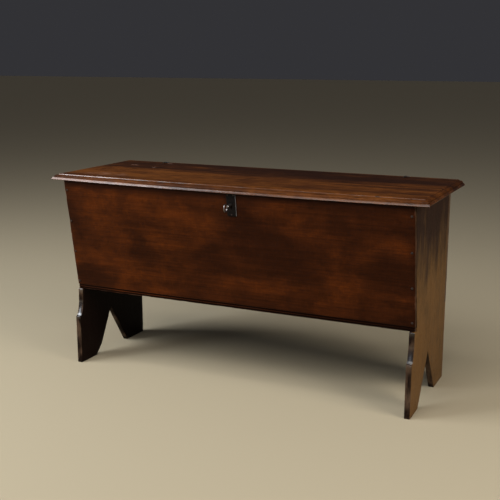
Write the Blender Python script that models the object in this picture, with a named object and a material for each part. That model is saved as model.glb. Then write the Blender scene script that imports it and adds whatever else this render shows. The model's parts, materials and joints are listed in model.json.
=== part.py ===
"""Six-plank oak chest with a leaning front, wire hinges and a small iron lock.

Metres, +Z up. The chest stands on the floor at z = 0, its length lies along X and its front faces -Y.
The origin is on the floor, under the middle of the box that just holds the whole object.
"""
import math

import bmesh
import bpy
from mathutils import Matrix, Vector

# Carcass
CHEST_LENGTH = 1.060  # over the outer faces of the two end planks
CARCASS_HEIGHT = 0.576  # floor to the lid's underside
LEG_HEIGHT = 0.233  # floor to the shoulders that carry the front and back boards
DEPTH_AT_SHOULDER = 0.336  # back face to front face, at the shoulders
DEPTH_AT_TOP = 0.389  # back face to front face, under the lid
END_THICKNESS = 0.0165
FRONT_THICKNESS = 0.0165
BACK_THICKNESS = 0.0165
BOTTOM_THICKNESS = 0.016
BOTTOM_RISE = 0.010  # underside of the bottom board above the shoulders
HOUSING_DEPTH = 0.004  # how far the bottom board runs into each end plank
GROOVE_RISES = (0.0045, 0.0105)  # scratched lines above the front board's lower edge
GROOVE_RADIUS = 0.0013

# Legs, cut out of the end planks; depths are measured forwards from the chest's back face
SHOULDER_LEDGE = 0.003  # the leg stands this proud of the front board
FOOT_STEP = 0.018  # the foot stands this far in front of the leg above it
BEAK_HEIGHT = 0.1485  # floor to the sharp corner where the foot begins
COVE_HEIGHT = 0.050
NOTCH_CENTRE_DEPTH = 0.189
NOTCH_WIDTH = 0.178
NOTCH_HEIGHT = 0.138
KERF_WIDTH = 0.0016  # the saw ran on past the top of the notch
KERF_HEIGHT = 0.009

# Lid
LID_THICKNESS = 0.0165
LID_END_OVERHANG = 0.039
LID_FRONT_OVERHANG = 0.0075
NOSE_HEIGHT = 0.0080  # half-round nose along the lid's lower edge
QUIRK_WIDTH = 0.0014
QUIRK_HEIGHT = 0.0010
OVOLO_WIDTH = 0.0100
FILLET_HEIGHT = 0.0018

# Nails
NAIL_COUNT = 4  # up each corner of the carcass
NAIL_TOP_INSET = 0.030  # highest nail below the board's upper edge
NAIL_FOOT_INSET = 0.026  # lowest nail above the board's lower edge
NAIL_LENGTH = 0.045
NAIL_RADIUS = 0.0021
NAIL_HEAD_RADIUS = 0.0042
NAIL_HEAD_HEIGHT = 0.0022
NAIL_TIP_SHARE = 0.35  # radius at the tip, of the shank's
NAIL_CROWN_SHARES = (0.80, 0.55)  # where the hammered head turns over, of its radius and its height
BOTTOM_NAIL_COUNT = 5
BOTTOM_NAIL_PITCH = 0.200
TACK_LENGTH = 0.011
TACK_RADIUS = 0.0013
TACK_HEAD_RADIUS = 0.0030
TACK_HEAD_HEIGHT = 0.0014

# Wire hinges: a staple in the back board, and an eye round its bar that goes up through the lid
HINGE_SPACING = 0.800
HINGE_SETBACK = 0.0035  # hinge axis behind the chest's back face
WIRE_RADIUS = 0.0022
STAPLE_ANGLE = math.radians(45)  # the staple's legs slope down through the back board
PIN_ANGLE = math.radians(40)  # the eye's shank slopes up through the lid
STAPLE_BEND = 0.0024  # radius of the staple's upper corners, to the wire's middle
EYE_MOUTH = math.radians(50)  # half the opening left where the eye's legs come together
EYE_NECK = 0.0019  # from the eye to where its legs run side by side
CLINCH_LENGTH = 0.013
CLINCH_CORNER = 0.0013  # cut off the corner where a leg is hammered over
CLINCH_TIP_SHARE = 0.35  # radius at the hammered tip, of the wire's

# Lock and key; the lock leans with the front board
LOCK_OFFSET = 0.022  # keyhole to the right of the chest's middle
STEM_RADIUS = 0.0033
PIVOT_RADIUS = 0.0023  # end of the stem, which turns in the case's plate
PIVOT_SHOULDER_GAP = 0.0020  # stem's shoulder to the case's plate
NECK_RADIUS = 0.0030  # stem where it meets the bow
COLLAR_RADIUS = 0.0041
COLLAR_LENGTH = 0.0020
COLLAR_BEVEL = 0.0015
BIT_REACH = 0.0130  # key axis to the tip of the bit
BIT_THICKNESS = 0.0030
BIT_LENGTH = 0.0100
WARD_WIDTH = 0.0014  # slot through the bit
WARD_HEIGHT = 0.0034
WARD_TIP_WALL = 0.0036  # metal left below the slot
WARD_FRONT_WALL = 0.0014  # metal left in front of the slot
TALON_DEPTH = 0.0055  # how far the bit's tip reaches into the bolt
BOLT_SPINE = 0.0060  # bolt left above the talon
BOLT_THICKNESS = 0.0040
BOLT_HEAD_HEIGHT = 0.0090
BOLT_THROW = 0.0120
BOLT_TAIL_REACH = 0.0040  # how far the bolt's tail stays beyond its lug when it is shot
BOLT_TIP_REACH = 0.0020  # how far the bolt's tip stands out of its lug when it is drawn
LUG_THICKNESS = 0.0040
LUG_WALL = 0.0025
LUG_ROOM = 0.0025  # lugs to the bit's sweep and the talon
SPRING_ROOM = 0.0050
SPRING_THICKNESS = 0.0008
SHEET_IRON = 0.0016  # case, escutcheon and catch plate
CATCH_LOOP_BAR = 0.0030
CATCH_LOOP_THICKNESS = 0.0040
CATCH_PLATE_LENGTH = 0.046
CATCH_PLATE_TAIL = 0.0100  # the part behind the lock's case, where it is tacked to the lid
CATCH_TACK_SPACING = 0.032
CASE_FLANGE = 0.010
CASE_FLOOR_ROOM = 0.004  # under the bit's sweep
CASE_END_ROOM = 0.0025  # beyond the bolt, drawn or shot
CASE_NAIL_INSET = 0.010  # from the case's top and bottom
ESCUTCHEON_WIDTH = 0.028
ESCUTCHEON_HEIGHT = 0.066
ESCUTCHEON_DROP = 0.003  # top edge below the front board's top
ESCUTCHEON_CORNER = 0.0022
ESCUTCHEON_TACK_INSET = 0.0050
BOW_HALF_DEPTH = 0.0100  # key's kidney-shaped bow, along the stem
BOW_HALF_HEIGHT = 0.0112  # and across it
BOW_DIMPLE = 0.35
BOW_WIRE = 0.0019
BOW_STANDOFF = 0.0345  # middle of the bow in front of the board

# Clearances
GAP = 0.0003  # between pieces that touch
WIRE_GAP = 0.0004  # round the hinge wire
KEY_GAP = 0.0006  # round the key's stem and bit
LOOP_GAP = 0.0009  # bolt to catch loop
LOOP_ROOM = 0.0012  # catch loop to the lock's walls
TALON_GAP = 0.0007
LOCK_LID_GAP = 0.0010  # lock case to catch plate
OVERCUT = 0.010  # how far a cutter runs past the wood it cuts

EMPTY_SIZE = 0.05  # how large the joints' empties are drawn

# Worked out from the sizes above
RAKE = math.atan2(DEPTH_AT_TOP - DEPTH_AT_SHOULDER, CARCASS_HEIGHT - LEG_HEIGHT)
SIN_RAKE = math.sin(RAKE)
COS_RAKE = math.cos(RAKE)
EYE_RADIUS = 2 * WIRE_RADIUS + WIRE_GAP
EYE_REACH = EYE_RADIUS + WIRE_RADIUS
STAPLE_HALF_SPAN = EYE_RADIUS + WIRE_GAP / 2
LID_BOTTOM = CARCASS_HEIGHT + GAP
LID_TOP = LID_BOTTOM + LID_THICKNESS
MOULDING_WIDTH = NOSE_HEIGHT / 2 + QUIRK_WIDTH + OVOLO_WIDTH + QUIRK_WIDTH

# Lock layout, measured from the key's axis: across (x), into the chest (v) and up the board (w)
BOLT_BOTTOM = BIT_REACH - TALON_DEPTH
TALON_TOP = BIT_REACH + TALON_GAP
BOLT_TOP = TALON_TOP + BOLT_SPINE
BOLT_MIDDLE = (BOLT_BOTTOM + BOLT_TOP) / 2
CASE_TOP = BOLT_TOP + SPRING_ROOM + SHEET_IRON
CASE_BOTTOM = -(BIT_REACH + CASE_FLOOR_ROOM + SHEET_IRON)
EYE_HALF_DEPTH = (BOLT_THICKNESS * COS_RAKE + BOLT_HEAD_HEIGHT * SIN_RAKE) / 2 + LOOP_GAP
EYE_HALF_HEIGHT = (BOLT_HEAD_HEIGHT * COS_RAKE + BOLT_THICKNESS * SIN_RAKE) / 2 + LOOP_GAP
LOOP_HALF_DEPTH = EYE_HALF_DEPTH + CATCH_LOOP_BAR
LOOP_HALF_HEIGHT = EYE_HALF_HEIGHT + CATCH_LOOP_BAR
BOLT_INSET = FRONT_THICKNESS + LOOP_ROOM + LOOP_HALF_DEPTH * COS_RAKE + LOOP_HALF_HEIGHT * SIN_RAKE
LOOP_RISE_IN_CASE = (CASE_TOP - BOLT_MIDDLE + LOOP_HALF_DEPTH * SIN_RAKE) / COS_RAKE
CASE_INNER = BOLT_INSET + LOOP_HALF_DEPTH * COS_RAKE + LOOP_RISE_IN_CASE * SIN_RAKE + LOOP_ROOM
CASE_OUTER = CASE_INNER + SHEET_IRON
CASE_LIFT = CASE_TOP * COS_RAKE + max(CASE_OUTER * SIN_RAKE, FRONT_THICKNESS * SIN_RAKE)
KEYHOLE_DROP = (CASE_LIFT + SHEET_IRON + LOCK_LID_GAP) / COS_RAKE


def talon_span():
    """Least and greatest x, on the bolt at rest, swept by the bit's tip in the key's half turn."""
    swept = []
    steps = 180
    for step in range(steps + 1):
        turn = math.pi * step / steps
        slid = BOLT_THROW * step / steps
        for side in (-1, 1):
            x = -BIT_REACH * math.sin(turn) + side * BIT_THICKNESS / 2 * math.cos(turn)
            w = -BIT_REACH * math.cos(turn) - side * BIT_THICKNESS / 2 * math.sin(turn)
            if w > BOLT_BOTTOM - TALON_GAP:
                swept.append(x - slid)
    return min(swept) - TALON_GAP, max(swept) + TALON_GAP


TALON_LEFT, TALON_RIGHT = talon_span()
LUG_LEFT = TALON_LEFT - LUG_ROOM
LUG_RIGHT = BIT_REACH + LUG_ROOM
BOLT_TAIL = LUG_LEFT - LUG_THICKNESS - BOLT_THROW - BOLT_TAIL_REACH
BOLT_SHOULDER = LUG_RIGHT - BOLT_THROW - GAP
BOLT_TIP = LUG_RIGHT + LUG_THICKNESS + BOLT_TIP_REACH
LOOP_ACROSS = BOLT_TIP + LOOP_ROOM + CATCH_LOOP_THICKNESS / 2
CASE_LEFT = BOLT_TAIL - CASE_END_ROOM - SHEET_IRON
CASE_RIGHT = BOLT_TIP + BOLT_THROW + CASE_END_ROOM + SHEET_IRON


def bow_outline(count):
    """Middle line of the key's bow as (v, w) points: a dimpled ring, its dimple at the stem."""
    points = []
    for index in range(count):
        turn = 2 * math.pi * index / count
        reach = 1 + BOW_DIMPLE * math.cos(turn)
        along = BOW_HALF_DEPTH * reach * math.cos(turn)
        points.append((-BOW_STANDOFF - along, BOW_HALF_HEIGHT * reach * math.sin(turn)))
    return points


BOW_POINTS = bow_outline(28)
KEYHOLE_DEPTH = DEPTH_AT_TOP - KEYHOLE_DROP * SIN_RAKE
FRONT_REACH = KEYHOLE_DEPTH + BOW_WIRE + max(w * SIN_RAKE - v * COS_RAKE for v, w in BOW_POINTS)
REAR_REACH = HINGE_SETBACK + EYE_REACH
BACK_Y = (FRONT_REACH - REAR_REACH) / 2
KEYHOLE = Vector((LOCK_OFFSET, BACK_Y - KEYHOLE_DEPTH, CARCASS_HEIGHT - KEYHOLE_DROP * COS_RAKE))
HINGE_AXIS_Y = BACK_Y + HINGE_SETBACK


def start_scene():
    """Empty the scene and return the collections for the parts and for the cutters."""
    for old in list(bpy.data.objects):
        bpy.data.objects.remove(old, do_unlink=True)
    parts = bpy.data.collections.new("six_plank_chest")
    cutters = bpy.data.collections.new("cutters")
    for collection in (parts, cutters):
        bpy.context.scene.collection.children.link(collection)
    return parts, cutters


PARTS, CUTTERS = start_scene()


def make_material(name, colour, roughness, metallic=0.0):
    """A plain Principled material."""
    material = bpy.data.materials.new(name)
    material.use_nodes = True
    shader = material.node_tree.nodes["Principled BSDF"]
    shader.inputs["Base Color"].default_value = (*colour, 1.0)
    shader.inputs["Roughness"].default_value = roughness
    shader.inputs["Metallic"].default_value = metallic
    return material


def make_empty(name, location, rotation=(0, 0, 0)):
    """An empty that carries the pieces of one joint or one leaning group."""
    empty = bpy.data.objects.new(name, None)
    empty.empty_display_size = EMPTY_SIZE
    empty.location = location
    empty.rotation_euler = rotation
    PARTS.objects.link(empty)
    bpy.context.view_layer.update()
    return empty


def place(obj, parent, material=None):
    """Put an object in the parts collection, or with the cutters when it has no material."""
    (PARTS if material else CUTTERS).objects.link(obj)
    obj.parent = parent
    if material:
        obj.data.materials.append(material)
    else:
        obj.hide_render = True
        obj.display_type = "WIRE"
    bpy.context.view_layer.update()
    return obj


def object_from_bmesh(name, shape, parent=None, material=None, origin=(0, 0, 0)):
    """Close a bmesh into an object, faces outwards, with its origin at the given point."""
    bmesh.ops.translate(shape, verts=shape.verts, vec=-Vector(origin))
    bmesh.ops.recalc_face_normals(shape, faces=shape.faces)
    mesh = bpy.data.meshes.new(name)
    shape.to_mesh(mesh)
    shape.free()
    obj = bpy.data.objects.new(name, mesh)
    obj.location = origin
    return place(obj, parent, material)


def add_block(shape, low, high):
    """Add a box between two corners to a bmesh."""
    low, high = Vector(low), Vector(high)
    size = Matrix.Diagonal((*(high - low), 1.0))
    bmesh.ops.create_cube(shape, size=1.0, matrix=Matrix.Translation((low + high) / 2) @ size)


def block(name, low, high, parent=None, material=None):
    """A box between two corners, with its origin in its middle."""
    shape = bmesh.new()
    add_block(shape, low, high)
    middle = (Vector(low) + Vector(high)) / 2
    return object_from_bmesh(name, shape, parent, material, middle)


def rod(name, start, end, radius, parent=None, sides=16):
    """A round cutter from start to end."""
    start, end = Vector(start), Vector(end)
    turn = (end - start).to_track_quat("Z", "Y").to_matrix().to_4x4()
    shape = bmesh.new()
    bmesh.ops.create_cone(
        shape, cap_ends=True, segments=sides, radius1=radius, radius2=radius,
        depth=(end - start).length, matrix=Matrix.Translation((start + end) / 2) @ turn,
    )
    return object_from_bmesh(name, shape, parent)


def mesh_from_curve(obj, parent, material=None):
    """Turn a curve object into a closed mesh object in the same place."""
    PARTS.objects.link(obj)
    bpy.context.view_layer.update()
    depsgraph = bpy.context.evaluated_depsgraph_get()
    mesh = bpy.data.meshes.new_from_object(obj.evaluated_get(depsgraph))
    mesh.name = obj.name
    shape = bmesh.new()
    shape.from_mesh(mesh)
    bmesh.ops.remove_doubles(shape, verts=shape.verts, dist=1e-6)
    bmesh.ops.recalc_face_normals(shape, faces=shape.faces)
    shape.to_mesh(mesh)
    shape.free()
    mesh.materials.clear()
    name, matrix = obj.name, obj.matrix_world.copy()
    bpy.data.objects.remove(obj, do_unlink=True)
    solid = bpy.data.objects.new(name, mesh)
    solid.matrix_basis = matrix
    return place(solid, parent, material)


def prism(name, outline, start, end, parent=None, material=None, across_x=True):
    """A flat outline given thickness: (y, z) points along X, or (x, z) points along Y."""
    curve = bpy.data.curves.new(name, "CURVE")
    curve.dimensions = "2D"
    curve.fill_mode = "BOTH"
    curve.extrude = abs(end - start) / 2
    spline = curve.splines.new("POLY")
    spline.points.add(len(outline) - 1)
    for point, (first, second) in zip(spline.points, outline):
        point.co = (first, second, 0.0, 1.0)
    spline.use_cyclic_u = True
    obj = bpy.data.objects.new(name, curve)
    middle = (start + end) / 2
    if across_x:
        obj.location = (middle, 0, 0)
        obj.rotation_euler = (math.pi / 2, 0, math.pi / 2)
    else:
        obj.location = (0, middle, 0)
        obj.rotation_euler = (math.pi / 2, 0, 0)
    return mesh_from_curve(obj, parent, material)


def wire(name, points, radii, parent, location=(0, 0, 0), material=None, closed=False):
    """A round wire through points, with a radius at each, capped at its ends or closed on itself."""
    curve = bpy.data.curves.new(name, "CURVE")
    curve.dimensions = "3D"
    curve.bevel_depth = 1.0
    curve.bevel_resolution = 2
    curve.use_fill_caps = not closed
    spline = curve.splines.new("POLY")
    spline.points.add(len(points) - 1)
    spline.use_cyclic_u = closed
    for point, co, radius in zip(spline.points, points, radii):
        point.co = (*co, 1.0)
        point.radius = radius
    obj = bpy.data.objects.new(name, curve)
    obj.location = location
    return mesh_from_curve(obj, parent, material)


def combine(target, tool, operation="DIFFERENCE"):
    """Cut a tool away from a target, or join the two."""
    modifier = target.modifiers.new(tool.name, "BOOLEAN")
    modifier.operation = operation
    modifier.solver = "EXACT"
    modifier.object = tool


def lathe(shape, profile, matrix, steps):
    """Spin (radius, height) points round an axis and add the closed solid to a bmesh."""
    turned = bmesh.new()
    rail = [turned.verts.new((radius, 0, height)) for radius, height in profile]
    edges = [turned.edges.new(pair) for pair in zip(rail, rail[1:])]
    bmesh.ops.spin(
        turned, geom=rail + edges, cent=(0, 0, 0), axis=(0, 0, 1),
        angle=2 * math.pi, steps=steps, use_merge=True,
    )
    bmesh.ops.remove_doubles(turned, verts=turned.verts, dist=1e-6)
    bmesh.ops.recalc_face_normals(turned, faces=turned.faces)
    bmesh.ops.transform(turned, matrix=matrix, verts=turned.verts)
    mesh = bpy.data.meshes.new("lathe")
    turned.to_mesh(mesh)
    turned.free()
    shape.from_mesh(mesh)
    bpy.data.meshes.remove(mesh)


def nails(name, places, inward, length, radius, head_radius, head_height, parent, material):
    """Hand-made nails at places on a face, driven along inward. Returns the cutter for their holes."""
    turn = (-Vector(inward)).to_track_quat("Z", "Y").to_matrix().to_4x4()
    tip_radius = radius * NAIL_TIP_SHARE
    crown_radius, crown_height = NAIL_CROWN_SHARES
    profile = [
        (0, -length), (tip_radius, -length), (radius, -GAP), (head_radius, 0),
        (head_radius * crown_radius, head_height * crown_height), (0, head_height),
    ]
    hole_length = length + 3 * GAP
    holes = bmesh.new()
    for number, spot in enumerate(places, 1):
        seat = Matrix.Translation(Vector(spot) - Vector(inward) * GAP) @ turn
        iron = bmesh.new()
        lathe(iron, profile, seat, 6)
        object_from_bmesh(f"{name}_{number}", iron, parent, material, spot)
        bmesh.ops.create_cone(
            holes, cap_ends=True, segments=8, radius1=tip_radius + WIRE_GAP, radius2=radius + WIRE_GAP,
            depth=hole_length, matrix=seat @ Matrix.Translation((0, 0, GAP - hole_length / 2)),
        )
    return object_from_bmesh(name + "_holes", holes, parent)


OAK_FRONT = make_material("oak_front", (0.075, 0.026, 0.011), 0.38)
OAK_LID = make_material("oak_lid", (0.110, 0.042, 0.017), 0.36)
OAK_ENDS = make_material("oak_ends", (0.085, 0.042, 0.020), 0.42)
OAK_INSIDE = make_material("oak_inside", (0.120, 0.070, 0.036), 0.70)
IRON = make_material("wrought_iron", (0.060, 0.055, 0.050), 0.50, 0.9)
STEEL = make_material("bright_iron", (0.300, 0.280, 0.260), 0.35, 1.0)

HALF_LENGTH = CHEST_LENGTH / 2
INNER_LENGTH = CHEST_LENGTH - 2 * END_THICKNESS
FRONT_RUN = FRONT_THICKNESS / COS_RAKE  # the leaning board's thickness measured level


def at_depth(depth):
    """World y at a depth in front of the chest's back face."""
    return BACK_Y - depth


def front_depth(height):
    """Depth of the front board's outer face at a height."""
    return DEPTH_AT_SHOULDER + (height - LEG_HEIGHT) * math.tan(RAKE)


def leg_outline():
    """End plank from the side, as (y, z) points: rebated front and back, stepped foot, notched base."""
    leg_depth = DEPTH_AT_SHOULDER + SHOULDER_LEDGE
    foot_depth = leg_depth + FOOT_STEP
    notch_rear = NOTCH_CENTRE_DEPTH - NOTCH_WIDTH / 2
    notch_front = NOTCH_CENTRE_DEPTH + NOTCH_WIDTH / 2
    half_kerf = KERF_WIDTH / 2
    kerf_foot = NOTCH_HEIGHT * (1 - KERF_WIDTH / NOTCH_WIDTH)
    outline = [
        (0, 0), (notch_rear, 0),
        (NOTCH_CENTRE_DEPTH - half_kerf, kerf_foot),
        (NOTCH_CENTRE_DEPTH - half_kerf, NOTCH_HEIGHT + KERF_HEIGHT),
        (NOTCH_CENTRE_DEPTH + half_kerf, NOTCH_HEIGHT + KERF_HEIGHT),
        (NOTCH_CENTRE_DEPTH + half_kerf, kerf_foot),
        (notch_front, 0), (foot_depth, 0),
    ]
    cove_steps = 10
    for step in range(cove_steps + 1):
        turn = math.pi / 2 * (1 - step / cove_steps)
        height = BEAK_HEIGHT + COVE_HEIGHT * (1 - math.sin(turn))
        outline.append((foot_depth - FOOT_STEP * math.cos(turn), height))
    front_rebate = FRONT_RUN + GAP
    back_rebate = BACK_THICKNESS + GAP
    outline += [
        (leg_depth, LEG_HEIGHT),
        (front_depth(LEG_HEIGHT) - front_rebate, LEG_HEIGHT),
        (front_depth(CARCASS_HEIGHT) - front_rebate, CARCASS_HEIGHT),
        (back_rebate, CARCASS_HEIGHT), (back_rebate, LEG_HEIGHT), (0, LEG_HEIGHT),
    ]
    return [(at_depth(depth), height) for depth, height in outline]


def make_ends():
    """The two end planks, grain upright, each with its housing for the bottom board."""
    outline = leg_outline()
    ends = []
    for name, side in (("left_end", -1), ("right_end", 1)):
        outer = side * HALF_LENGTH
        inner = side * (HALF_LENGTH - END_THICKNESS)
        ends.append(prism(name, outline, outer, inner, material=OAK_ENDS))
    return ends


def make_front():
    """The front board, leaning outwards, with two lines scratched along its lower edge."""
    low, high = LEG_HEIGHT + GAP, CARCASS_HEIGHT
    outline = [
        (at_depth(front_depth(low)), low), (at_depth(front_depth(high)), high),
        (at_depth(front_depth(high) - FRONT_RUN), high), (at_depth(front_depth(low) - FRONT_RUN), low),
    ]
    board = prism("front_board", outline, -HALF_LENGTH, HALF_LENGTH, material=OAK_FRONT)
    for number, rise in enumerate(GROOVE_RISES, 1):
        height = LEG_HEIGHT + rise * COS_RAKE
        line = Vector((0, at_depth(front_depth(height)), height))
        reach = Vector((HALF_LENGTH + OVERCUT, 0, 0))
        combine(board, rod(f"scratched_line_{number}", line - reach, line + reach, GROOVE_RADIUS, sides=8))
    return board


def make_back():
    """The upright back board, in the rebates of the end planks."""
    low = (-HALF_LENGTH, at_depth(BACK_THICKNESS), LEG_HEIGHT + GAP)
    high = (HALF_LENGTH, at_depth(0), CARCASS_HEIGHT)
    return block("back_board", low, high, material=OAK_INSIDE)


def bottom_outline(margin):
    """Section of the bottom board as (y, z) points, grown by a margin."""
    low = LEG_HEIGHT + BOTTOM_RISE - margin
    high = LEG_HEIGHT + BOTTOM_RISE + BOTTOM_THICKNESS + margin
    front = FRONT_RUN + GAP - margin
    back = BACK_THICKNESS + GAP - margin
    return [
        (at_depth(front_depth(low) - front), low), (at_depth(front_depth(high) - front), high),
        (at_depth(back), high), (at_depth(back), low),
    ]


def make_bottom(ends):
    """The bottom board, housed at both ends."""
    reach = INNER_LENGTH / 2 + HOUSING_DEPTH
    board = prism("bottom_board", bottom_outline(0), -reach, reach, material=OAK_INSIDE)
    housing_outline = bottom_outline(GAP)
    housing_reach = reach + GAP
    cutter = prism("bottom_housings", housing_outline, -housing_reach, housing_reach)
    for end in ends:
        combine(end, cutter)
    return board


def moulding_waste():
    """What the plane takes off the lid's edge: (inset from the nose, height above the underside)."""
    nose = NOSE_HEIGHT / 2
    waste = [(-OVERCUT, -OVERCUT), (nose, -OVERCUT)]
    nose_steps = 8
    for step in range(nose_steps + 1):
        turn = math.pi * step / nose_steps
        waste.append((nose * (1 - math.sin(turn)), nose * (1 - math.cos(turn))))
    quirk = nose + QUIRK_WIDTH
    ovolo_foot = NOSE_HEIGHT + QUIRK_HEIGHT
    ovolo_top = LID_THICKNESS - FILLET_HEIGHT
    waste.append((quirk, NOSE_HEIGHT))
    ovolo_steps = 6
    for step in range(ovolo_steps + 1):
        turn = math.pi / 2 * step / ovolo_steps
        inset = quirk + OVOLO_WIDTH * (1 - math.cos(turn))
        waste.append((inset, ovolo_foot + (ovolo_top - ovolo_foot) * math.sin(turn)))
    waste += [
        (MOULDING_WIDTH, ovolo_top), (MOULDING_WIDTH, LID_THICKNESS + OVERCUT),
        (-OVERCUT, LID_THICKNESS + OVERCUT),
    ]
    return waste


def make_lid(hinge):
    """The one-plank lid, its front and ends moulded, its back edge square and level with the back board."""
    half = HALF_LENGTH + LID_END_OVERHANG
    nose_y = at_depth(DEPTH_AT_TOP + LID_FRONT_OVERHANG) - HINGE_AXIS_Y
    back_y = at_depth(0) - HINGE_AXIS_Y
    base = LID_BOTTOM - CARCASS_HEIGHT
    lid = block("lid", (-half, nose_y, base), (half, back_y, base + LID_THICKNESS), hinge, OAK_LID)
    waste = moulding_waste()
    front_waste = [(nose_y + inset, base + height) for inset, height in waste]
    reach = half + OVERCUT
    combine(lid, prism("front_moulding", front_waste, -reach, reach, hinge))
    for name, side in (("left_moulding", -1), ("right_moulding", 1)):
        end_waste = [(side * (half - inset), base + height) for inset, height in waste]
        combine(lid, prism(name, end_waste, nose_y - OVERCUT, back_y + OVERCUT, hinge, across_x=False))
    return lid


def corner_heights(upright):
    """Heights at which a board is nailed at its corners; upright is how much a step along it climbs."""
    low = LEG_HEIGHT + NAIL_FOOT_INSET * upright
    high = CARCASS_HEIGHT - NAIL_TOP_INSET * upright
    return [high + (low - high) * index / (NAIL_COUNT - 1) for index in range(NAIL_COUNT)]


def nail_carcass(front, back, bottom, ends):
    """Nails through the front and back boards into the end planks, and through the back into the bottom."""
    size = (NAIL_LENGTH, NAIL_RADIUS, NAIL_HEAD_RADIUS, NAIL_HEAD_HEIGHT)
    inward = (0, COS_RAKE, SIN_RAKE)
    for end, side in zip(ends, (-1, 1)):
        word = "left" if side < 0 else "right"
        x = side * (HALF_LENGTH - END_THICKNESS / 2)
        spots = [(x, at_depth(front_depth(height)), height) for height in corner_heights(COS_RAKE)]
        holes = nails(f"front_nail_{word}", spots, inward, *size, None, IRON)
        combine(front, holes)
        combine(end, holes)
        spots = [(x, at_depth(0), height) for height in corner_heights(1)]
        holes = nails(f"back_nail_{word}", spots, (0, -1, 0), *size, None, IRON)
        combine(back, holes)
        combine(end, holes)
    height = LEG_HEIGHT + BOTTOM_RISE + BOTTOM_THICKNESS / 2
    middle = (BOTTOM_NAIL_COUNT - 1) / 2
    across = [(index - middle) * BOTTOM_NAIL_PITCH for index in range(BOTTOM_NAIL_COUNT)]
    spots = [(x, at_depth(0), height) for x in across]
    holes = nails("bottom_nail", spots, (0, -1, 0), *size, None, IRON)
    combine(back, holes)
    combine(bottom, holes)


def clinch_radii(count):
    """Wire radii from a hammered tip back to the full wire."""
    shares = [CLINCH_TIP_SHARE + (1 - CLINCH_TIP_SHARE) * index / (count - 1) for index in range(count)]
    return [WIRE_RADIUS * share for share in shares]


def staple_path():
    """The staple from the hinge axis: a bar along X, legs sloping down through the board, clinched tips."""
    slope = Vector((0, -math.cos(STAPLE_ANGLE), -math.sin(STAPLE_ANGLE)))
    inner_face = HINGE_SETBACK + BACK_THICKNESS + GAP + WIRE_RADIUS
    leg_end = inner_face / math.cos(STAPLE_ANGLE)
    bend = slope * leg_end
    taper = clinch_radii(4)
    side, radii = [], []
    for index, radius in enumerate(taper[:-1]):
        drop = CLINCH_LENGTH * (1 - index / (len(taper) - 1))
        side.append(Vector((STAPLE_HALF_SPAN, bend.y + WIRE_RADIUS - radius, bend.z - drop)))
        radii.append(radius)
    side.append(Vector((STAPLE_HALF_SPAN, bend.y, bend.z - CLINCH_CORNER)))
    side.append(bend - slope * CLINCH_CORNER + Vector((STAPLE_HALF_SPAN, 0, 0)))
    side.append(slope * STAPLE_BEND + Vector((STAPLE_HALF_SPAN, 0, 0)))
    corner_steps = 3
    for step in range(1, corner_steps + 1):
        turn = math.pi / 2 * step / corner_steps
        across = STAPLE_HALF_SPAN - STAPLE_BEND * (1 - math.cos(turn))
        side.append(slope * STAPLE_BEND * (1 - math.sin(turn)) + Vector((across, 0, 0)))
    radii += [WIRE_RADIUS] * (len(side) - len(radii))
    mirrored = [Vector((-point.x, point.y, point.z)) for point in reversed(side)]
    return side + mirrored, radii + radii[::-1]


def pin_legs():
    """Start offset, slope and sideways offset of the eye's two legs in the y-z plane."""
    slope = Vector((0, -math.cos(PIN_ANGLE), math.sin(PIN_ANGLE)))
    square = Vector((0, math.sin(PIN_ANGLE), math.cos(PIN_ANGLE)))
    return slope, square, WIRE_RADIUS + GAP


def pin_path():
    """The eye round the staple's bar, its two legs side by side up through the lid, tips turned over."""
    slope, square, offset = pin_legs()
    top = LID_TOP - CARCASS_HEIGHT + GAP + WIRE_RADIUS
    neck = EYE_RADIUS + EYE_NECK
    taper = clinch_radii(4)
    legs = []
    for sign, direction in ((-1, Vector((0, -1, 0))), (1, Vector((1, 0, 0)))):
        run = (top - sign * offset * square.z) / slope.z
        bend = slope * run + square * sign * offset
        leg = []
        for index, radius in enumerate(taper[:-1]):
            reach = CLINCH_LENGTH * (1 - index / (len(taper) - 1))
            leg.append((bend + direction * reach - Vector((0, 0, WIRE_RADIUS - radius)), radius))
        leg.append((bend + direction * CLINCH_CORNER, WIRE_RADIUS))
        leg.append((bend - slope * CLINCH_CORNER, WIRE_RADIUS))
        leg.append((slope * neck + square * sign * offset, WIRE_RADIUS))
        legs.append(leg)
    eye = []
    eye_steps = 14
    for step in range(eye_steps + 1):
        turn = -EYE_MOUTH - (2 * math.pi - 2 * EYE_MOUTH) * step / eye_steps
        eye.append((slope * EYE_RADIUS * math.cos(turn) + square * EYE_RADIUS * math.sin(turn), WIRE_RADIUS))
    path = legs[0] + eye + legs[1][::-1]
    return [point for point, _ in path], [radius for _, radius in path]


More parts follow.
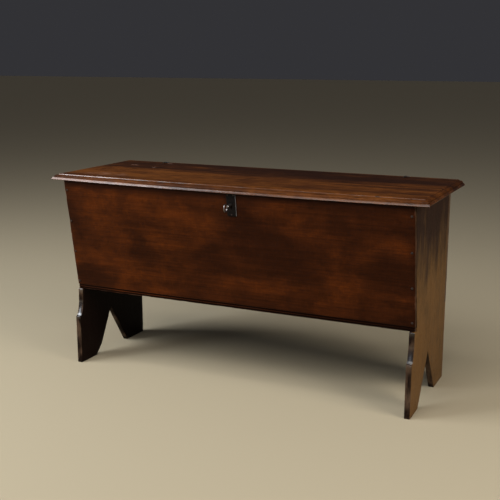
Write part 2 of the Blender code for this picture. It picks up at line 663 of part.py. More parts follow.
def make_hinges(back, lid, hinge):
    """Two wire hinges at the back, with their holes and the gouged nicks that they turn in."""
    axis = Vector((0, HINGE_AXIS_Y, CARCASS_HEIGHT))
    hole = WIRE_RADIUS + WIRE_GAP
    staple_points, staple_radii = staple_path()
    pin_points, pin_radii = pin_path()
    slope, square, offset = pin_legs()
    for word, side in (("left", -1), ("right", 1)):
        x = side * HINGE_SPACING / 2
        here = Vector((x, 0, 0))
        wire(f"hinge_staple_{word}", staple_points, staple_radii, None, axis + here, IRON)
        wire(f"lid_hinge_eye_{word}", pin_points, pin_radii, hinge, here, IRON)
        fall = Vector((0, -math.cos(STAPLE_ANGLE), -math.sin(STAPLE_ANGLE)))
        reach = (HINGE_SETBACK + BACK_THICKNESS) / math.cos(STAPLE_ANGLE) + OVERCUT
        for number, shift in enumerate((-STAPLE_HALF_SPAN, STAPLE_HALF_SPAN), 1):
            start = axis + here + Vector((shift, 0, 0))
            combine(back, rod(f"staple_hole_{word}_{number}", start, start + fall * reach, hole))
        nick_half = Vector((WIRE_RADIUS + WIRE_GAP, 0, 0))
        nick_radius = EYE_REACH + 2 * WIRE_GAP
        middle = axis + here
        nick = rod(f"hinge_nick_{word}", middle - nick_half, middle + nick_half, nick_radius, sides=24)
        combine(back, nick)
        combine(lid, nick)
        run = (LID_TOP - CARCASS_HEIGHT) / slope.z + OVERCUT
        for number, sign in enumerate((-1, 1), 1):
            start = here + square * sign * offset
            combine(lid, rod(f"pin_hole_{word}_{number}", start, start + slope * run, hole, hinge))


def keyhole_outline():
    """Round top and straight slot, as (x, w) points round the key's axis."""
    round_radius = STEM_RADIUS + KEY_GAP
    half_slot = BIT_THICKNESS / 2 + KEY_GAP
    dip = math.asin(half_slot / round_radius)
    outline = [(-half_slot, -(BIT_REACH + KEY_GAP)), (half_slot, -(BIT_REACH + KEY_GAP))]
    steps = 14
    for step in range(steps + 1):
        turn = -math.pi / 2 + dip + (2 * math.pi - 2 * dip) * step / steps
        outline.append((round_radius * math.cos(turn), round_radius * math.sin(turn)))
    return outline


def make_escutcheon(frame, front):
    """The outside plate with the keyhole, held by three tacks."""
    half = ESCUTCHEON_WIDTH / 2
    top = KEYHOLE_DROP - ESCUTCHEON_DROP
    bottom = top - ESCUTCHEON_HEIGHT
    corner = ESCUTCHEON_CORNER
    outline = [
        (-half + corner, bottom), (half - corner, bottom), (half, bottom + corner), (half, top - corner),
        (half - corner, top), (-half + corner, top), (-half, top - corner), (-half, bottom + corner),
    ]
    plate = prism("escutcheon", outline, -GAP - SHEET_IRON, -GAP, frame, IRON, across_x=False)
    keyhole = prism("keyhole", keyhole_outline(), -OVERCUT, FRONT_THICKNESS + OVERCUT, frame, across_x=False)
    combine(plate, keyhole)
    combine(front, keyhole)
    margin = ESCUTCHEON_TACK_INSET
    face = -GAP - SHEET_IRON
    across = half - margin
    spots = [(-across, face, top - margin), (across, face, top - margin), (0, face, bottom + margin)]
    size = (TACK_LENGTH, TACK_RADIUS, TACK_HEAD_RADIUS, TACK_HEAD_HEIGHT)
    holes = nails("escutcheon_tack", spots, (0, 1, 0), *size, frame, IRON)
    combine(plate, holes)
    combine(front, holes)


def make_case(frame, front):
    """The lock's case inside the front board: a box open to the board, with two lugs for the bolt."""
    near = FRONT_THICKNESS + GAP
    case_low = (CASE_LEFT, near, CASE_BOTTOM)
    case_high = (CASE_RIGHT, CASE_OUTER, CASE_TOP)
    case = block("lock_case", case_low, case_high, frame, IRON)
    flange_low = (CASE_LEFT - CASE_FLANGE, near, CASE_BOTTOM)
    flange_high = (CASE_RIGHT + CASE_FLANGE, near + SHEET_IRON, CASE_TOP)
    combine(case, block("case_flange", flange_low, flange_high, frame), "UNION")
    inner_low = (CASE_LEFT + SHEET_IRON, near - OVERCUT, CASE_BOTTOM + SHEET_IRON)
    inner_high = (CASE_RIGHT - SHEET_IRON, CASE_INNER, CASE_TOP - SHEET_IRON)
    combine(case, block("case_hollow", inner_low, inner_high, frame))
    bolt_near = BOLT_INSET - BOLT_THICKNESS / 2
    bolt_far = BOLT_INSET + BOLT_THICKNESS / 2
    head_low = BOLT_MIDDLE - BOLT_HEAD_HEIGHT / 2
    head_high = BOLT_MIDDLE + BOLT_HEAD_HEIGHT / 2
    lugs = (
        ("left", LUG_LEFT - LUG_THICKNESS, LUG_LEFT, BOLT_BOTTOM, BOLT_TOP),
        ("right", LUG_RIGHT, LUG_RIGHT + LUG_THICKNESS, head_low, head_high),
    )
    for word, left, right, low, high in lugs:
        lug_low = (left, bolt_near - LUG_WALL, low - LUG_WALL)
        lug_high = (right, CASE_INNER + SHEET_IRON / 2, high + LUG_WALL)
        combine(case, block(f"bolt_lug_{word}", lug_low, lug_high, frame), "UNION")
        window_low = (left - LUG_THICKNESS, bolt_near - GAP, low - GAP)
        window_high = (right + LUG_THICKNESS, bolt_far + GAP, high + GAP)
        combine(case, block(f"lug_window_{word}", window_low, window_high, frame))
    slot_half = CATCH_LOOP_THICKNESS / 2 + LOOP_ROOM
    slot_low = (LOOP_ACROSS - slot_half, near - OVERCUT, CASE_TOP - 2 * SHEET_IRON)
    slot_high = (LOOP_ACROSS + slot_half, CASE_INNER, CASE_TOP + OVERCUT)
    combine(case, block("loop_slot", slot_low, slot_high, frame))
    start, end = (0, CASE_INNER - SHEET_IRON, 0), (0, CASE_OUTER + SHEET_IRON, 0)
    combine(case, rod("key_pivot_hole", start, end, PIVOT_RADIUS + KEY_GAP, frame))
    spots = []
    for x in (CASE_LEFT - CASE_FLANGE / 2, CASE_RIGHT + CASE_FLANGE / 2):
        for w in (CASE_BOTTOM + CASE_NAIL_INSET, CASE_TOP - CASE_NAIL_INSET):
            spots.append((x, near + SHEET_IRON, w))
    size = (TACK_LENGTH, TACK_RADIUS, TACK_HEAD_RADIUS, TACK_HEAD_HEIGHT)
    holes = nails("lock_case_nail", spots, (0, -1, 0), *size, frame, IRON)
    combine(case, holes)
    combine(front, holes)


def make_bolt(frame):
    """The sliding bolt, at rest drawn back from the catch loop, with the talon that the key works in."""
    near = BOLT_INSET - BOLT_THICKNESS / 2
    far = BOLT_INSET + BOLT_THICKNESS / 2
    bolt = block("lock_bolt", (BOLT_TAIL, near, BOLT_BOTTOM), (BOLT_SHOULDER, far, BOLT_TOP), frame, STEEL)
    head_low = (BOLT_SHOULDER - BOLT_THROW / 2, near, BOLT_MIDDLE - BOLT_HEAD_HEIGHT / 2)
    head_high = (BOLT_TIP, far, BOLT_MIDDLE + BOLT_HEAD_HEIGHT / 2)
    combine(bolt, block("bolt_head", head_low, head_high, frame), "UNION")
    talon_low = (TALON_LEFT, near - OVERCUT, BOLT_BOTTOM - OVERCUT)
    talon_high = (TALON_RIGHT, far + OVERCUT, TALON_TOP)
    combine(bolt, block("bolt_talon", talon_low, talon_high, frame))


def make_spring(frame):
    """A bowed leaf between the case's top and the bolt."""
    left, right = LUG_LEFT + GAP, LUG_RIGHT - GAP
    high = CASE_TOP - SHEET_IRON - GAP - SPRING_THICKNESS
    low = BOLT_TOP + GAP
    steps = 12
    lower_edge = []
    for step in range(steps + 1):
        share = 2 * step / steps - 1
        x = (left + right) / 2 + (right - left) / 2 * share
        lower_edge.append((x, low + (high - low) * share * share))
    upper_edge = [(x, w + SPRING_THICKNESS) for x, w in reversed(lower_edge)]
    near = BOLT_INSET - BOLT_THICKNESS / 2
    far = BOLT_INSET + BOLT_THICKNESS / 2
    prism("lock_spring", lower_edge + upper_edge, near, far, frame, STEEL, across_x=False)


def make_key(frame):
    """The key: a turned stem, a kidney-shaped bow and a notched bit, in the keyhole with its bit down."""
    head = BOW_STANDOFF - BOW_HALF_DEPTH * (1 - BOW_DIMPLE) + BOW_WIRE / 2
    collar_front = head - COLLAR_BEVEL
    collar_back = collar_front - COLLAR_LENGTH
    shoulder = PIVOT_SHOULDER_GAP - CASE_INNER
    profile = [
        (0, head), (NECK_RADIUS, head), (COLLAR_RADIUS, collar_front), (COLLAR_RADIUS, collar_back),
        (STEM_RADIUS, collar_back - COLLAR_BEVEL), (STEM_RADIUS, shoulder),
        (PIVOT_RADIUS, shoulder - PIVOT_SHOULDER_GAP / 2), (PIVOT_RADIUS, -CASE_OUTER), (0, -CASE_OUTER),
    ]
    outward = Vector((0, -1, 0)).to_track_quat("Z", "Y").to_matrix().to_4x4()
    shape = bmesh.new()
    lathe(shape, profile, outward, 16)
    key = object_from_bmesh("key", shape, frame, STEEL)
    bow_points = [Vector((0, v, w)) for v, w in BOW_POINTS]
    bow = wire("key_bow", bow_points, [BOW_WIRE] * len(bow_points), frame, closed=True)
    combine(key, bow, "UNION")
    half = BIT_THICKNESS / 2
    near = BOLT_INSET - BIT_LENGTH / 2
    far = BOLT_INSET + BIT_LENGTH / 2
    bit = block("key_bit", (-half, near, -BIT_REACH), (half, far, -STEM_RADIUS / 2), frame)
    combine(key, bit, "UNION")
    ward_near = near + WARD_FRONT_WALL
    ward_foot = WARD_TIP_WALL - BIT_REACH
    ward_low = (-BIT_THICKNESS, ward_near, ward_foot)
    ward_high = (BIT_THICKNESS, ward_near + WARD_WIDTH, ward_foot + WARD_HEIGHT)
    combine(key, block("key_ward_cut", ward_low, ward_high, frame))


def make_catch(hinge, lid):
    """The catch under the lid: a plate tacked behind the lock, and a loop that drops into the lock."""
    keyhole = KEYHOLE - Vector((0, HINGE_AXIS_Y, CARCASS_HEIGHT))
    x = keyhole.x + LOOP_ACROSS
    y = keyhole.y + BOLT_INSET * COS_RAKE - BOLT_MIDDLE * SIN_RAKE
    z = keyhole.z + BOLT_INSET * SIN_RAKE + BOLT_MIDDLE * COS_RAKE
    plate_top = LID_BOTTOM - CARCASS_HEIGHT - GAP
    plate_bottom = plate_top - SHEET_IRON
    front = at_depth(DEPTH_AT_TOP - FRONT_RUN) - HINGE_AXIS_Y + LOOP_ROOM
    rear = keyhole.y + CASE_OUTER * COS_RAKE - CASE_TOP * SIN_RAKE + CATCH_PLATE_TAIL
    half = CATCH_PLATE_LENGTH / 2
    plate_low = (x - half, front, plate_bottom)
    plate_high = (x + half, rear, plate_top)
    catch = block("lid_catch", plate_low, plate_high, hinge, IRON)
    thick = CATCH_LOOP_THICKNESS / 2
    loop_low = (x - thick, y - LOOP_HALF_DEPTH, z - LOOP_HALF_HEIGHT)
    loop_high = (x + thick, y + LOOP_HALF_DEPTH, plate_bottom + SHEET_IRON / 2)
    combine(catch, block("catch_loop", loop_low, loop_high, hinge), "UNION")
    eye_low = (x - OVERCUT, y - EYE_HALF_DEPTH, z - EYE_HALF_HEIGHT)
    eye_high = (x + OVERCUT, y + EYE_HALF_DEPTH, z + EYE_HALF_HEIGHT)
    combine(catch, block("catch_eye", eye_low, eye_high, hinge))
    tack_y = rear - CATCH_PLATE_TAIL / 2
    spots = [(x + side * CATCH_TACK_SPACING / 2, tack_y, plate_bottom) for side in (-1, 1)]
    size = (TACK_LENGTH, TACK_RADIUS, TACK_HEAD_RADIUS, TACK_HEAD_HEIGHT)
    holes = nails("catch_tack", spots, (0, 0, 1), *size, hinge, IRON)
    combine(catch, holes)
    combine(lid, holes)


def build_chest():
    """Make every piece."""
    lid_hinge = make_empty("lid_hinge", (0, HINGE_AXIS_Y, CARCASS_HEIGHT))
    lock_frame = make_empty("lock_frame", KEYHOLE, (RAKE, 0, 0))
    ends = make_ends()
    front = make_front()
    back = make_back()
    bottom = make_bottom(ends)
    lid = make_lid(lid_hinge)
    nail_carcass(front, back, bottom, ends)
    make_hinges(back, lid, lid_hinge)
    make_escutcheon(lock_frame, front)
    make_case(lock_frame, front)
    make_bolt(lock_frame)
    make_spring(lock_frame)
    make_key(lock_frame)
    make_catch(lid_hinge, lid)


build_chest()
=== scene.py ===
"""The looks of a six-plank oak chest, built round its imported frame.

Metres, +Z up. +X runs to the chest's right and its front faces -Y. The origin is on the floor, under the
chest's middle.
"""
import json
import math

import bmesh
import bpy
from mathutils import Matrix, Vector, noise


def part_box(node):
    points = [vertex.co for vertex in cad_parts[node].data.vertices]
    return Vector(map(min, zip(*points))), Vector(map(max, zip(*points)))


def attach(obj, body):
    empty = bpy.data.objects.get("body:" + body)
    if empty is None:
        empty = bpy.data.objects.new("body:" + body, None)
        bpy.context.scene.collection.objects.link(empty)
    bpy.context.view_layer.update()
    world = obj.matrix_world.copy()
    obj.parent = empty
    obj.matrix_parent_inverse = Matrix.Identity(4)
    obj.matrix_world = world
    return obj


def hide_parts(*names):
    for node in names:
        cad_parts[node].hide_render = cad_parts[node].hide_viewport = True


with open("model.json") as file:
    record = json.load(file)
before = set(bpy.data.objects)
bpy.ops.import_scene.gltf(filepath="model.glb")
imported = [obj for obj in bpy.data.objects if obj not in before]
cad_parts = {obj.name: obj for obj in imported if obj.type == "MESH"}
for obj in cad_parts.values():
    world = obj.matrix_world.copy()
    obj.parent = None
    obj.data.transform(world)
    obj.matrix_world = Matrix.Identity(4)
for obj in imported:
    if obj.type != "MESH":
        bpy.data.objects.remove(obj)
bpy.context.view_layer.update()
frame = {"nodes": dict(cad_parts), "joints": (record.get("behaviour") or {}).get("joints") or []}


# The camera stands where the photograph was taken from: in front of the chest's right end, a little above its
# lid. It looks left and down at the chest through a short portrait lens.
CAMERA_PLACE = (1.0837, -2.2992, 0.9381)
CAMERA_DIP = math.radians(12.42)
CAMERA_TURN = math.radians(25.31)
CAMERA_LENS = 63.9
CAMERA_SENSOR = 36.0

camera_data = bpy.data.cameras.new("photo_camera")
camera_data.sensor_width = CAMERA_SENSOR
camera_data.lens = CAMERA_LENS
camera = bpy.data.objects.new("photo_camera", camera_data)
camera.location = CAMERA_PLACE
camera.rotation_euler = (math.pi / 2 - CAMERA_DIP, 0, CAMERA_TURN)
bpy.context.scene.collection.objects.link(camera)
bpy.context.scene.camera = camera
bpy.context.scene.view_settings.view_transform = "Standard"


# A plain pale floor and soft studio light: softboxes overhead, in front, to the left, narrow and tall left of
# the front, and to the right, with a dim card low before the feet. The surround is pale high in front of the
# chest and dark elsewhere.
FLOOR_SIZE = 60.0
FLOOR_COLOUR = (0.380, 0.325, 0.225)
CEILING_COLOUR = (0.45, 0.45, 0.47)
WALL_COLOUR = (0.032, 0.032, 0.036)
PALE_WAY = (0.0, -0.64, 0.77)
PALE_FROM = 0.72
# Each softbox: its name, place, target, width, height, power in watts and colour.
SOFTBOXES = (
    ("overhead_softbox", (0.1, -1.4, 4.8), (0, 0, 0.3), 2.0, 0.8, 28, (1.0, 0.98, 0.95)),
    ("front_softbox", (0.1, -2.9, 2.8), (0, 0, 0.3), 2.8, 1.9, 66, (1.0, 0.97, 0.93)),
    ("left_softbox", (-2.28, -1.47, 2.24), (0, 0, 0.3), 1.8, 2.1, 90, (0.93, 0.96, 1.0)),
    ("tall_softbox", (-2.38, -2.5, 1.75), (-0.5, -0.14, 0.2), 0.7, 2.3, 30, (0.80, 0.90, 1.0)),
    ("low_card", (-0.25, -3.0, 1.15), (0.52, -0.14, 0.16), 0.9, 1.1, 4, (0.72, 0.86, 1.0)),
    ("right_softbox", (2.75, -0.77, 1.66), (0.2, 0, 0.3), 1.4, 1.2, 54, (1.0, 0.95, 0.88)),
)


def add_node(tree, kind, inputs=None, **settings):
    """Add a shader node; an input is either another node's output or a fixed value."""
    made = tree.nodes.new("ShaderNode" + kind)
    for name, value in settings.items():
        setattr(made, name, value)
    for socket, value in (inputs or {}).items():
        if isinstance(value, bpy.types.NodeSocket):
            tree.links.new(value, made.inputs[socket])
        else:
            made.inputs[socket].default_value = value
    return made


def blend_colours(tree, share, first, second):
    """Lay a second colour over a first by a share; a colour is another node's output or three numbers."""
    first, second = (
        colour if isinstance(colour, bpy.types.NodeSocket) else (*colour, 1) for colour in (first, second)
    )
    return add_node(tree, "Mix", {0: share, 6: first, 7: second}, data_type="RGBA").outputs[2]


def new_material(name):
    """An empty node material and its Principled shader."""
    material = bpy.data.materials.new(name)
    material.use_nodes = True
    return material, material.node_tree, material.node_tree.nodes["Principled BSDF"]


def add_softbox(name, place, target, width, height, power, colour):
    """A rectangular area light at a place, aimed at a target."""
    light = bpy.data.lights.new(name, "AREA")
    light.shape = "RECTANGLE"
    light.size = width
    light.size_y = height
    light.energy = power
    light.color = colour
    lamp = bpy.data.objects.new(name, light)
    lamp.visible_camera = False
    lamp.location = place
    lamp.rotation_euler = (Vector(target) - Vector(place)).to_track_quat("-Z", "Y").to_euler()
    bpy.context.scene.collection.objects.link(lamp)


floor_shape = bmesh.new()
bmesh.ops.create_grid(floor_shape, x_segments=1, y_segments=1, size=FLOOR_SIZE / 2)
floor_mesh = bpy.data.meshes.new("floor")
floor_shape.to_mesh(floor_mesh)
floor_shape.free()
floor = bpy.data.objects.new("floor", floor_mesh)
bpy.context.scene.collection.objects.link(floor)
floor_material, _, floor_shader = new_material("pale_floor")
floor_shader.inputs["Base Color"].default_value = (*FLOOR_COLOUR, 1)
floor_shader.inputs["Roughness"].default_value = 0.9
floor_shader.inputs["Specular IOR Level"].default_value = 0.1
floor_mesh.materials.append(floor_material)

world = bpy.data.worlds.new("studio")
world.use_nodes = True
bpy.context.scene.world = world
sky = world.node_tree
sky_way = add_node(sky, "TexCoord").outputs["Generated"]
nearness = add_node(sky, "VectorMath", {0: sky_way, 1: PALE_WAY}, operation="DOT_PRODUCT").outputs["Value"]
paleness = add_node(sky, "MapRange", {"Value": nearness, "From Min": PALE_FROM, "From Max": 1.0}).outputs[0]
surround = blend_colours(sky, paleness, WALL_COLOUR, CEILING_COLOUR)
sky.links.new(surround, sky.nodes["Background"].inputs["Color"])

for softbox in SOFTBOXES:
    add_softbox(*softbox)


# The front board: one wide oak plank with its grain along the chest, leaning out towards the top and nailed
# over the edges of the end planks. Two lines are scratched along its lower edge, and a mortise is cut through
# it for the key.
BOARD_CELL = 0.008
ARRIS_WIDTH = 0.0014
SCRATCH_RISES = (0.0046, 0.0120)
SCRATCH_HALF_WIDTH = 0.0024
SCRATCH_FLOOR = 0.0015
SCRATCH_DEPTH = 0.0020
SCRATCH_WAVES = 14.0
SCRATCH_DARKENING = -3.2
MORTISE_HALF_WIDTH = 0.0050
MORTISE_TOP = 0.0055
MORTISE_BOTTOM = -0.0150
LOWER_ARRIS_POLISH = 0.8
RAW_BACK_SHARE = 0.3
SHARP_EDGE = math.radians(40)
X_AXIS, Y_AXIS, Z_AXIS = 0, 1, 2
# How many waves of wear there are in a metre: slow hollows, fine ones, bitten arrises and rubbed ones; and
# how many times closer the hollows lie across the grain than along it.
SLOW_WAVES = 7.0
FINE_WAVES = 31.0
BITE_WAVES = 38.0
RUB_WAVES = 22.0
CROSS_GRAIN = 3.5
# Patches of the patina, and a painted shade along the top under the lid's nose, the patch 4 m wide: middle x
# and z, half width, half height, and how much lighter or darker.
FRONT_PATCHES = (
    (-0.40, 0.47, 0.11, 0.06, 0.50), (-0.33, 0.30, 0.10, 0.035, 0.55), (-0.19, 0.50, 0.08, 0.04, 0.30),
    (0.44, 0.32, 0.10, 0.05, 0.10), (0.47, 0.43, 0.05, 0.08, 0.10), (0.30, 0.30, 0.09, 0.04, 0.05),
    (0.03, 0.50, 0.07, 0.06, -0.75), (0.18, 0.43, 0.09, 0.035, -0.50), (-0.50, 0.28, 0.05, 0.04, -0.60),
    (0.07, 0.38, 0.12, 0.06, -0.25), (0.51, 0.25, 0.05, 0.03, -0.60), (-0.26, 0.39, 0.05, 0.03, -0.25),
    (0.00, 0.576, 4.00, 0.017, -2.00), (-0.52, 0.50, 0.02, 0.12, -0.35), (0.525, 0.45, 0.014, 0.20, -0.45),
    (0.45, 0.240, 0.42, 0.007, -1.70), (0.45, 0.53, 0.14, 0.03, -0.20), (0.44, 0.40, 0.28, 0.30, -0.30),
)
OAK_RAW = (0.105, 0.062, 0.035)

key_joint = next(joint for joint in frame["joints"] if joint["name"] == "key_turn")
KEY_AXIS = Vector(key_joint["axis"])
KEYHOLE = Vector(key_joint["pos_m"])
LEAN = math.atan2(KEY_AXIS.z, KEY_AXIS.y)


def saw_at(shape, place, normal, geometry=None):
    """Cut a shape's faces along a plane, or only the given parts of it."""
    geometry = geometry or shape.verts[:] + shape.edges[:] + shape.faces[:]
    bmesh.ops.bisect_plane(shape, geom=geometry, dist=1e-4, plane_co=place, plane_no=normal)


def saw_into_cells(shape, spacing):
    """Cut a shape's faces across each axis at a spacing, for wear to move; an axis of None is left."""
    for axis, step in enumerate(spacing):
        if step is None:
            continue
        places = [vert.co[axis] for vert in shape.verts]
        low, high = min(places), max(places)
        count = max(1, round((high - low) / step))
        normal = Vector([float(axis == index) for index in range(3)])
        for index in range(1, count):
            saw_at(shape, normal * (low + (high - low) * index / count), normal)


def layer(shape, name):
    """A named number for each vertex, which the materials read."""
    return shape.verts.layers.float.get(name) or shape.verts.layers.float.new(name)


def round_arrises(shape, width, chosen, segments=2, clamped=True):
    """Round the chosen sharp edges and mark the new faces, whose corners the wear starts from."""
    mark = shape.faces.layers.int.get("arris") or shape.faces.layers.int.new("arris")
    edges = [
        edge for edge in shape.edges
        if len(edge.link_faces) == 2 and edge.calc_face_angle() > SHARP_EDGE and chosen(edge)
    ]
    made = bmesh.ops.bevel(
        shape, geom=edges, offset=width, offset_type="OFFSET", segments=segments, profile=0.5,
        affect="EDGES", clamp_overlap=clamped, material=-1,
    )
    for face in made["faces"]:
        face[mark] = 1


def weather(shape, seed, hollow, dent, grain, floor_height=None):
    """Lower a surface by the hollows of shrinkage and planing, and dent its arrises; nothing is raised."""
    mark = shape.faces.layers.int.get("arris")
    wear = layer(shape, "wear")
    squeeze = Vector([1.0 if axis == grain else CROSS_GRAIN for axis in range(3)])
    shift = Vector((seed * 3.17, seed * 1.71, seed * 2.39))
    shape.normal_update()
    moves = []
    for vert in shape.verts:
        at = vert.co * squeeze + shift
        slow = 0.5 + 0.5 * noise.noise(at * SLOW_WAVES)
        fine = 0.5 + 0.5 * noise.noise(at * FINE_WAVES)
        depth = hollow * (0.7 * slow + 0.3 * fine)
        if mark and any(face[mark] for face in vert.link_faces):
            bite = max(0.0, noise.noise(vert.co * BITE_WAVES + shift) + 0.15) ** 2
            depth += dent * (0.25 + 2.2 * bite)
            vert[wear] = 0.55 + 0.45 * noise.noise(vert.co * RUB_WAVES - shift)
        move = -vert.normal * depth
        if floor_height is not None and vert.co.z < floor_height + 1e-5:
            move.z = 0
        moves.append(move)
    for vert, move in zip(shape.verts, moves):
        vert.co += move


def lay_tone_patches(shape, patches, up):
    """Lighten or darken soft patches of a board; each has a middle, two half sizes and an amount."""
    tone = layer(shape, "tone")
    for vert in shape.verts:
        for across, along, half_width, half_height, amount in patches:
            reach = ((vert.co.x - across) / half_width) ** 2 + ((vert.co[up] - along) / half_height) ** 2
            vert[tone] += amount * math.exp(-reach)


def finish_piece(name, shape, body, material, nodes, sharp=35):
    """Make a bmesh into a piece that rides on a body and stands for CAD nodes."""
    bmesh.ops.recalc_face_normals(shape, faces=shape.faces)
    mesh = bpy.data.meshes.new(name)
    shape.to_mesh(mesh)
    shape.free()
    mesh.shade_smooth()
    mesh.set_sharp_from_angle(angle=math.radians(sharp))
    mesh.materials.append(material)
    piece = bpy.data.objects.new(name, mesh)
    bpy.context.scene.collection.objects.link(piece)
    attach(piece, body)
    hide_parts(*nodes)


def mottle(tree, place, grain, along, across, seed=0.0, detail=3.0, roughness=0.55, distortion=0.0):
    """Noise from 0 to 1, with so many units a metre along the grain and so many across it."""
    scale = [along if axis == grain else across for axis in range(3)]
    shift = (seed * 1.31, seed * 2.17, seed * 0.73)
    space = add_node(tree, "Mapping", {"Vector": place, "Location": shift, "Scale": scale}).outputs[0]
    pattern = {"Detail": detail, "Roughness": roughness, "Distortion": distortion}
    return add_node(tree, "TexNoise", {"Vector": space, "Scale": 1.0, **pattern}).outputs["Fac"]


def between(tree, value, low, high, to_low=0.0, to_high=1.0):
    """A value's smooth climb from one bound to another."""
    inputs = {"Value": value, "From Min": low, "From Max": high, "To Min": to_low, "To Max": to_high}
    return add_node(tree, "MapRange", inputs, interpolation_type="SMOOTHSTEP").outputs[0]


def math_of(tree, operation, first, second=0.0, third=0.0):
    """One sum on two or three values."""
    return add_node(tree, "Math", {0: first, 1: second, 2: third}, operation=operation).outputs[0]


def shade_colour(tree, colour, value):
    """Make a colour lighter or darker by a value."""
    return add_node(tree, "VectorMath", {0: colour, "Scale": value}, operation="SCALE").outputs[0]


def near_spot(tree, place, middle, half_size):
    """How near a point is to a spot: 1 in its middle and 0 outside it."""
    offset = add_node(tree, "VectorMath", {0: place, 1: middle}, operation="SUBTRACT").outputs[0]
    ratio = add_node(tree, "VectorMath", {0: offset, 1: half_size}, operation="DIVIDE").outputs[0]
    length = add_node(tree, "VectorMath", {0: ratio}, operation="LENGTH").outputs["Value"]
    return between(tree, length, 0.3, 1.0, 1.0, 0.0)


def read_layer(tree, name):
    """The number that a piece's mesh carries under a name."""
    return add_node(tree, "Attribute", attribute_name=name).outputs["Fac"]


def add_relief(tree, shader, height, strength, distance):
    """Emboss a height on a shader's surface."""
    bump = add_node(tree, "Bump", {"Strength": strength, "Distance": distance, "Height": height})
    tree.links.new(bump.outputs[0], shader.inputs["Normal"])


def oak(
    name, grain, seed, deep, brown, warm, bare, gloss, level,
    streak=0.4, relief=0.5, raw_share=0.0, open_grain=0.15, polish_gloss=0.2, knots=(), scuffs=(),
):
    """Old oak: grain lines, cloudy patina, pores and flecks, with patches, raw sides and polished wear.

    The polish of handled arrises is a clear coat, so that the broad faces stay dull.
    """
    material, tree, shader = new_material(name)
    place = add_node(tree, "TexCoord").outputs["Object"]
    lines = mottle(tree, place, grain, 3.0, 230.0, seed, 3.0, 0.6, 0.15)
    streaks = mottle(tree, place, grain, 1.7, 27.0, seed + 3, 6.0, 0.6, 0.35)
    clouds = mottle(tree, place, grain, 7.0, 11.0, seed + 7, 4.0, 0.55, 0.4)
    spots = mottle(tree, place, grain, 26.0, 36.0, seed + 12, 4.0, 0.6)
    flecks = mottle(tree, place, grain, 210.0, 48.0, seed + 17, 2.0, 0.5)
    pores = between(tree, mottle(tree, place, grain, 60.0, 1300.0, seed, 2.0), 0.57, 0.66)
    dashes = between(tree, mottle(tree, place, grain, 20.0, 310.0, seed + 21, 3.0, 0.6), 0.52, 0.68)
    rubbed = mottle(tree, place, grain, 34.0, 90.0, seed + 5, 4.0)
    dents = mottle(tree, place, grain, 26.0, 44.0, seed + 9)
    tone, wear, raw = read_layer(tree, "tone"), read_layer(tree, "wear"), read_layer(tree, "raw")

    figure = math_of(tree, "MULTIPLY_ADD", streaks, streak, math_of(tree, "MULTIPLY", clouds, 1.0 - streak))
    figure = math_of(tree, "MULTIPLY_ADD", tone, 0.16, figure)
    colour = blend_colours(tree, between(tree, figure, 0.34, 0.58), deep, brown)
    warmth = math_of(tree, "MULTIPLY_ADD", spots, 0.35, math_of(tree, "MULTIPLY", figure, 0.65))
    colour = blend_colours(tree, between(tree, warmth, 0.48, 0.64), colour, warm)
    dark_spots = math_of(tree, "MULTIPLY_ADD", tone, -0.10, spots)
    darkened = between(tree, dark_spots, 0.55, 0.72, 0.0, 0.42)
    colour = blend_colours(tree, darkened, colour, [part * 0.7 for part in deep])
    colour = shade_colour(tree, colour, between(tree, lines, 0.30, 0.70, 0.84, 1.14))
    colour = shade_colour(tree, colour, between(tree, flecks, 0.50, 0.72, 1.0, 1.16))
    colour = shade_colour(tree, colour, math_of(tree, "MULTIPLY_ADD", pores, -0.38, 1.0))
    colour = shade_colour(tree, colour, math_of(tree, "MULTIPLY_ADD", dashes, -open_grain, 1.0))
    for middle, half_size in knots:
        knot = near_spot(tree, place, middle, half_size)
        colour = shade_colour(tree, colour, math_of(tree, "MULTIPLY_ADD", knot, -0.7, 1.0))
    # A low tone darkens the wood: dark patina patches, and painted shade where a piece lays it in its tone.
    colour = shade_colour(tree, colour, between(tree, tone, -3.2, -0.6, 0.25, 1.0))
    raw_colour = shade_colour(tree, OAK_RAW, between(tree, figure, 0.30, 0.70, 0.62, 1.25))
    raw_colour = shade_colour(tree, raw_colour, between(tree, lines, 0.30, 0.70, 0.86, 1.12))
    colour = blend_colours(tree, math_of(tree, "MAXIMUM", raw, raw_share), colour, raw_colour)
    for middle, half_size, amount in scuffs:
        wear = math_of(tree, "MULTIPLY_ADD", near_spot(tree, place, middle, half_size), amount, wear)
    worn = between(tree, math_of(tree, "MULTIPLY_ADD", rubbed, 0.7, wear), 0.78, 1.20)
    colour = blend_colours(tree, math_of(tree, "MULTIPLY", worn, 0.75), colour, bare)
    tree.links.new(colour, shader.inputs["Base Color"])

    rough = math_of(tree, "MULTIPLY_ADD", streaks, 0.14, gloss - 0.07)
    rough = math_of(tree, "MULTIPLY_ADD", pores, 0.12, rough)
    rough = math_of(tree, "MULTIPLY_ADD", raw, 0.22, rough)
    rough = math_of(tree, "MULTIPLY_ADD", worn, -0.10, rough)
    tree.links.new(rough, shader.inputs["Roughness"])
    shader.inputs["Specular IOR Level"].default_value = level
    tree.links.new(read_layer(tree, "polish"), shader.inputs["Coat Weight"])
    shader.inputs["Coat Roughness"].default_value = polish_gloss
    shader.inputs["Coat IOR"].default_value = 1.8
    height = math_of(tree, "MULTIPLY_ADD", dents, 1.1, math_of(tree, "MULTIPLY", lines, 0.16))
    height = math_of(tree, "MULTIPLY_ADD", streaks, 0.35, height)
    height = math_of(tree, "MULTIPLY_ADD", pores, -0.30, height)
    add_relief(tree, shader, height, relief, 0.0011)
    return material


front_low, front_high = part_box("front_board")
front_rise = front_high.z - front_low.z
front_depth = front_high.y - front_low.y - front_rise * math.tan(LEAN)
front_middle = Vector((0, front_low.y + front_depth / 2, (front_low.z + front_high.z) / 2))

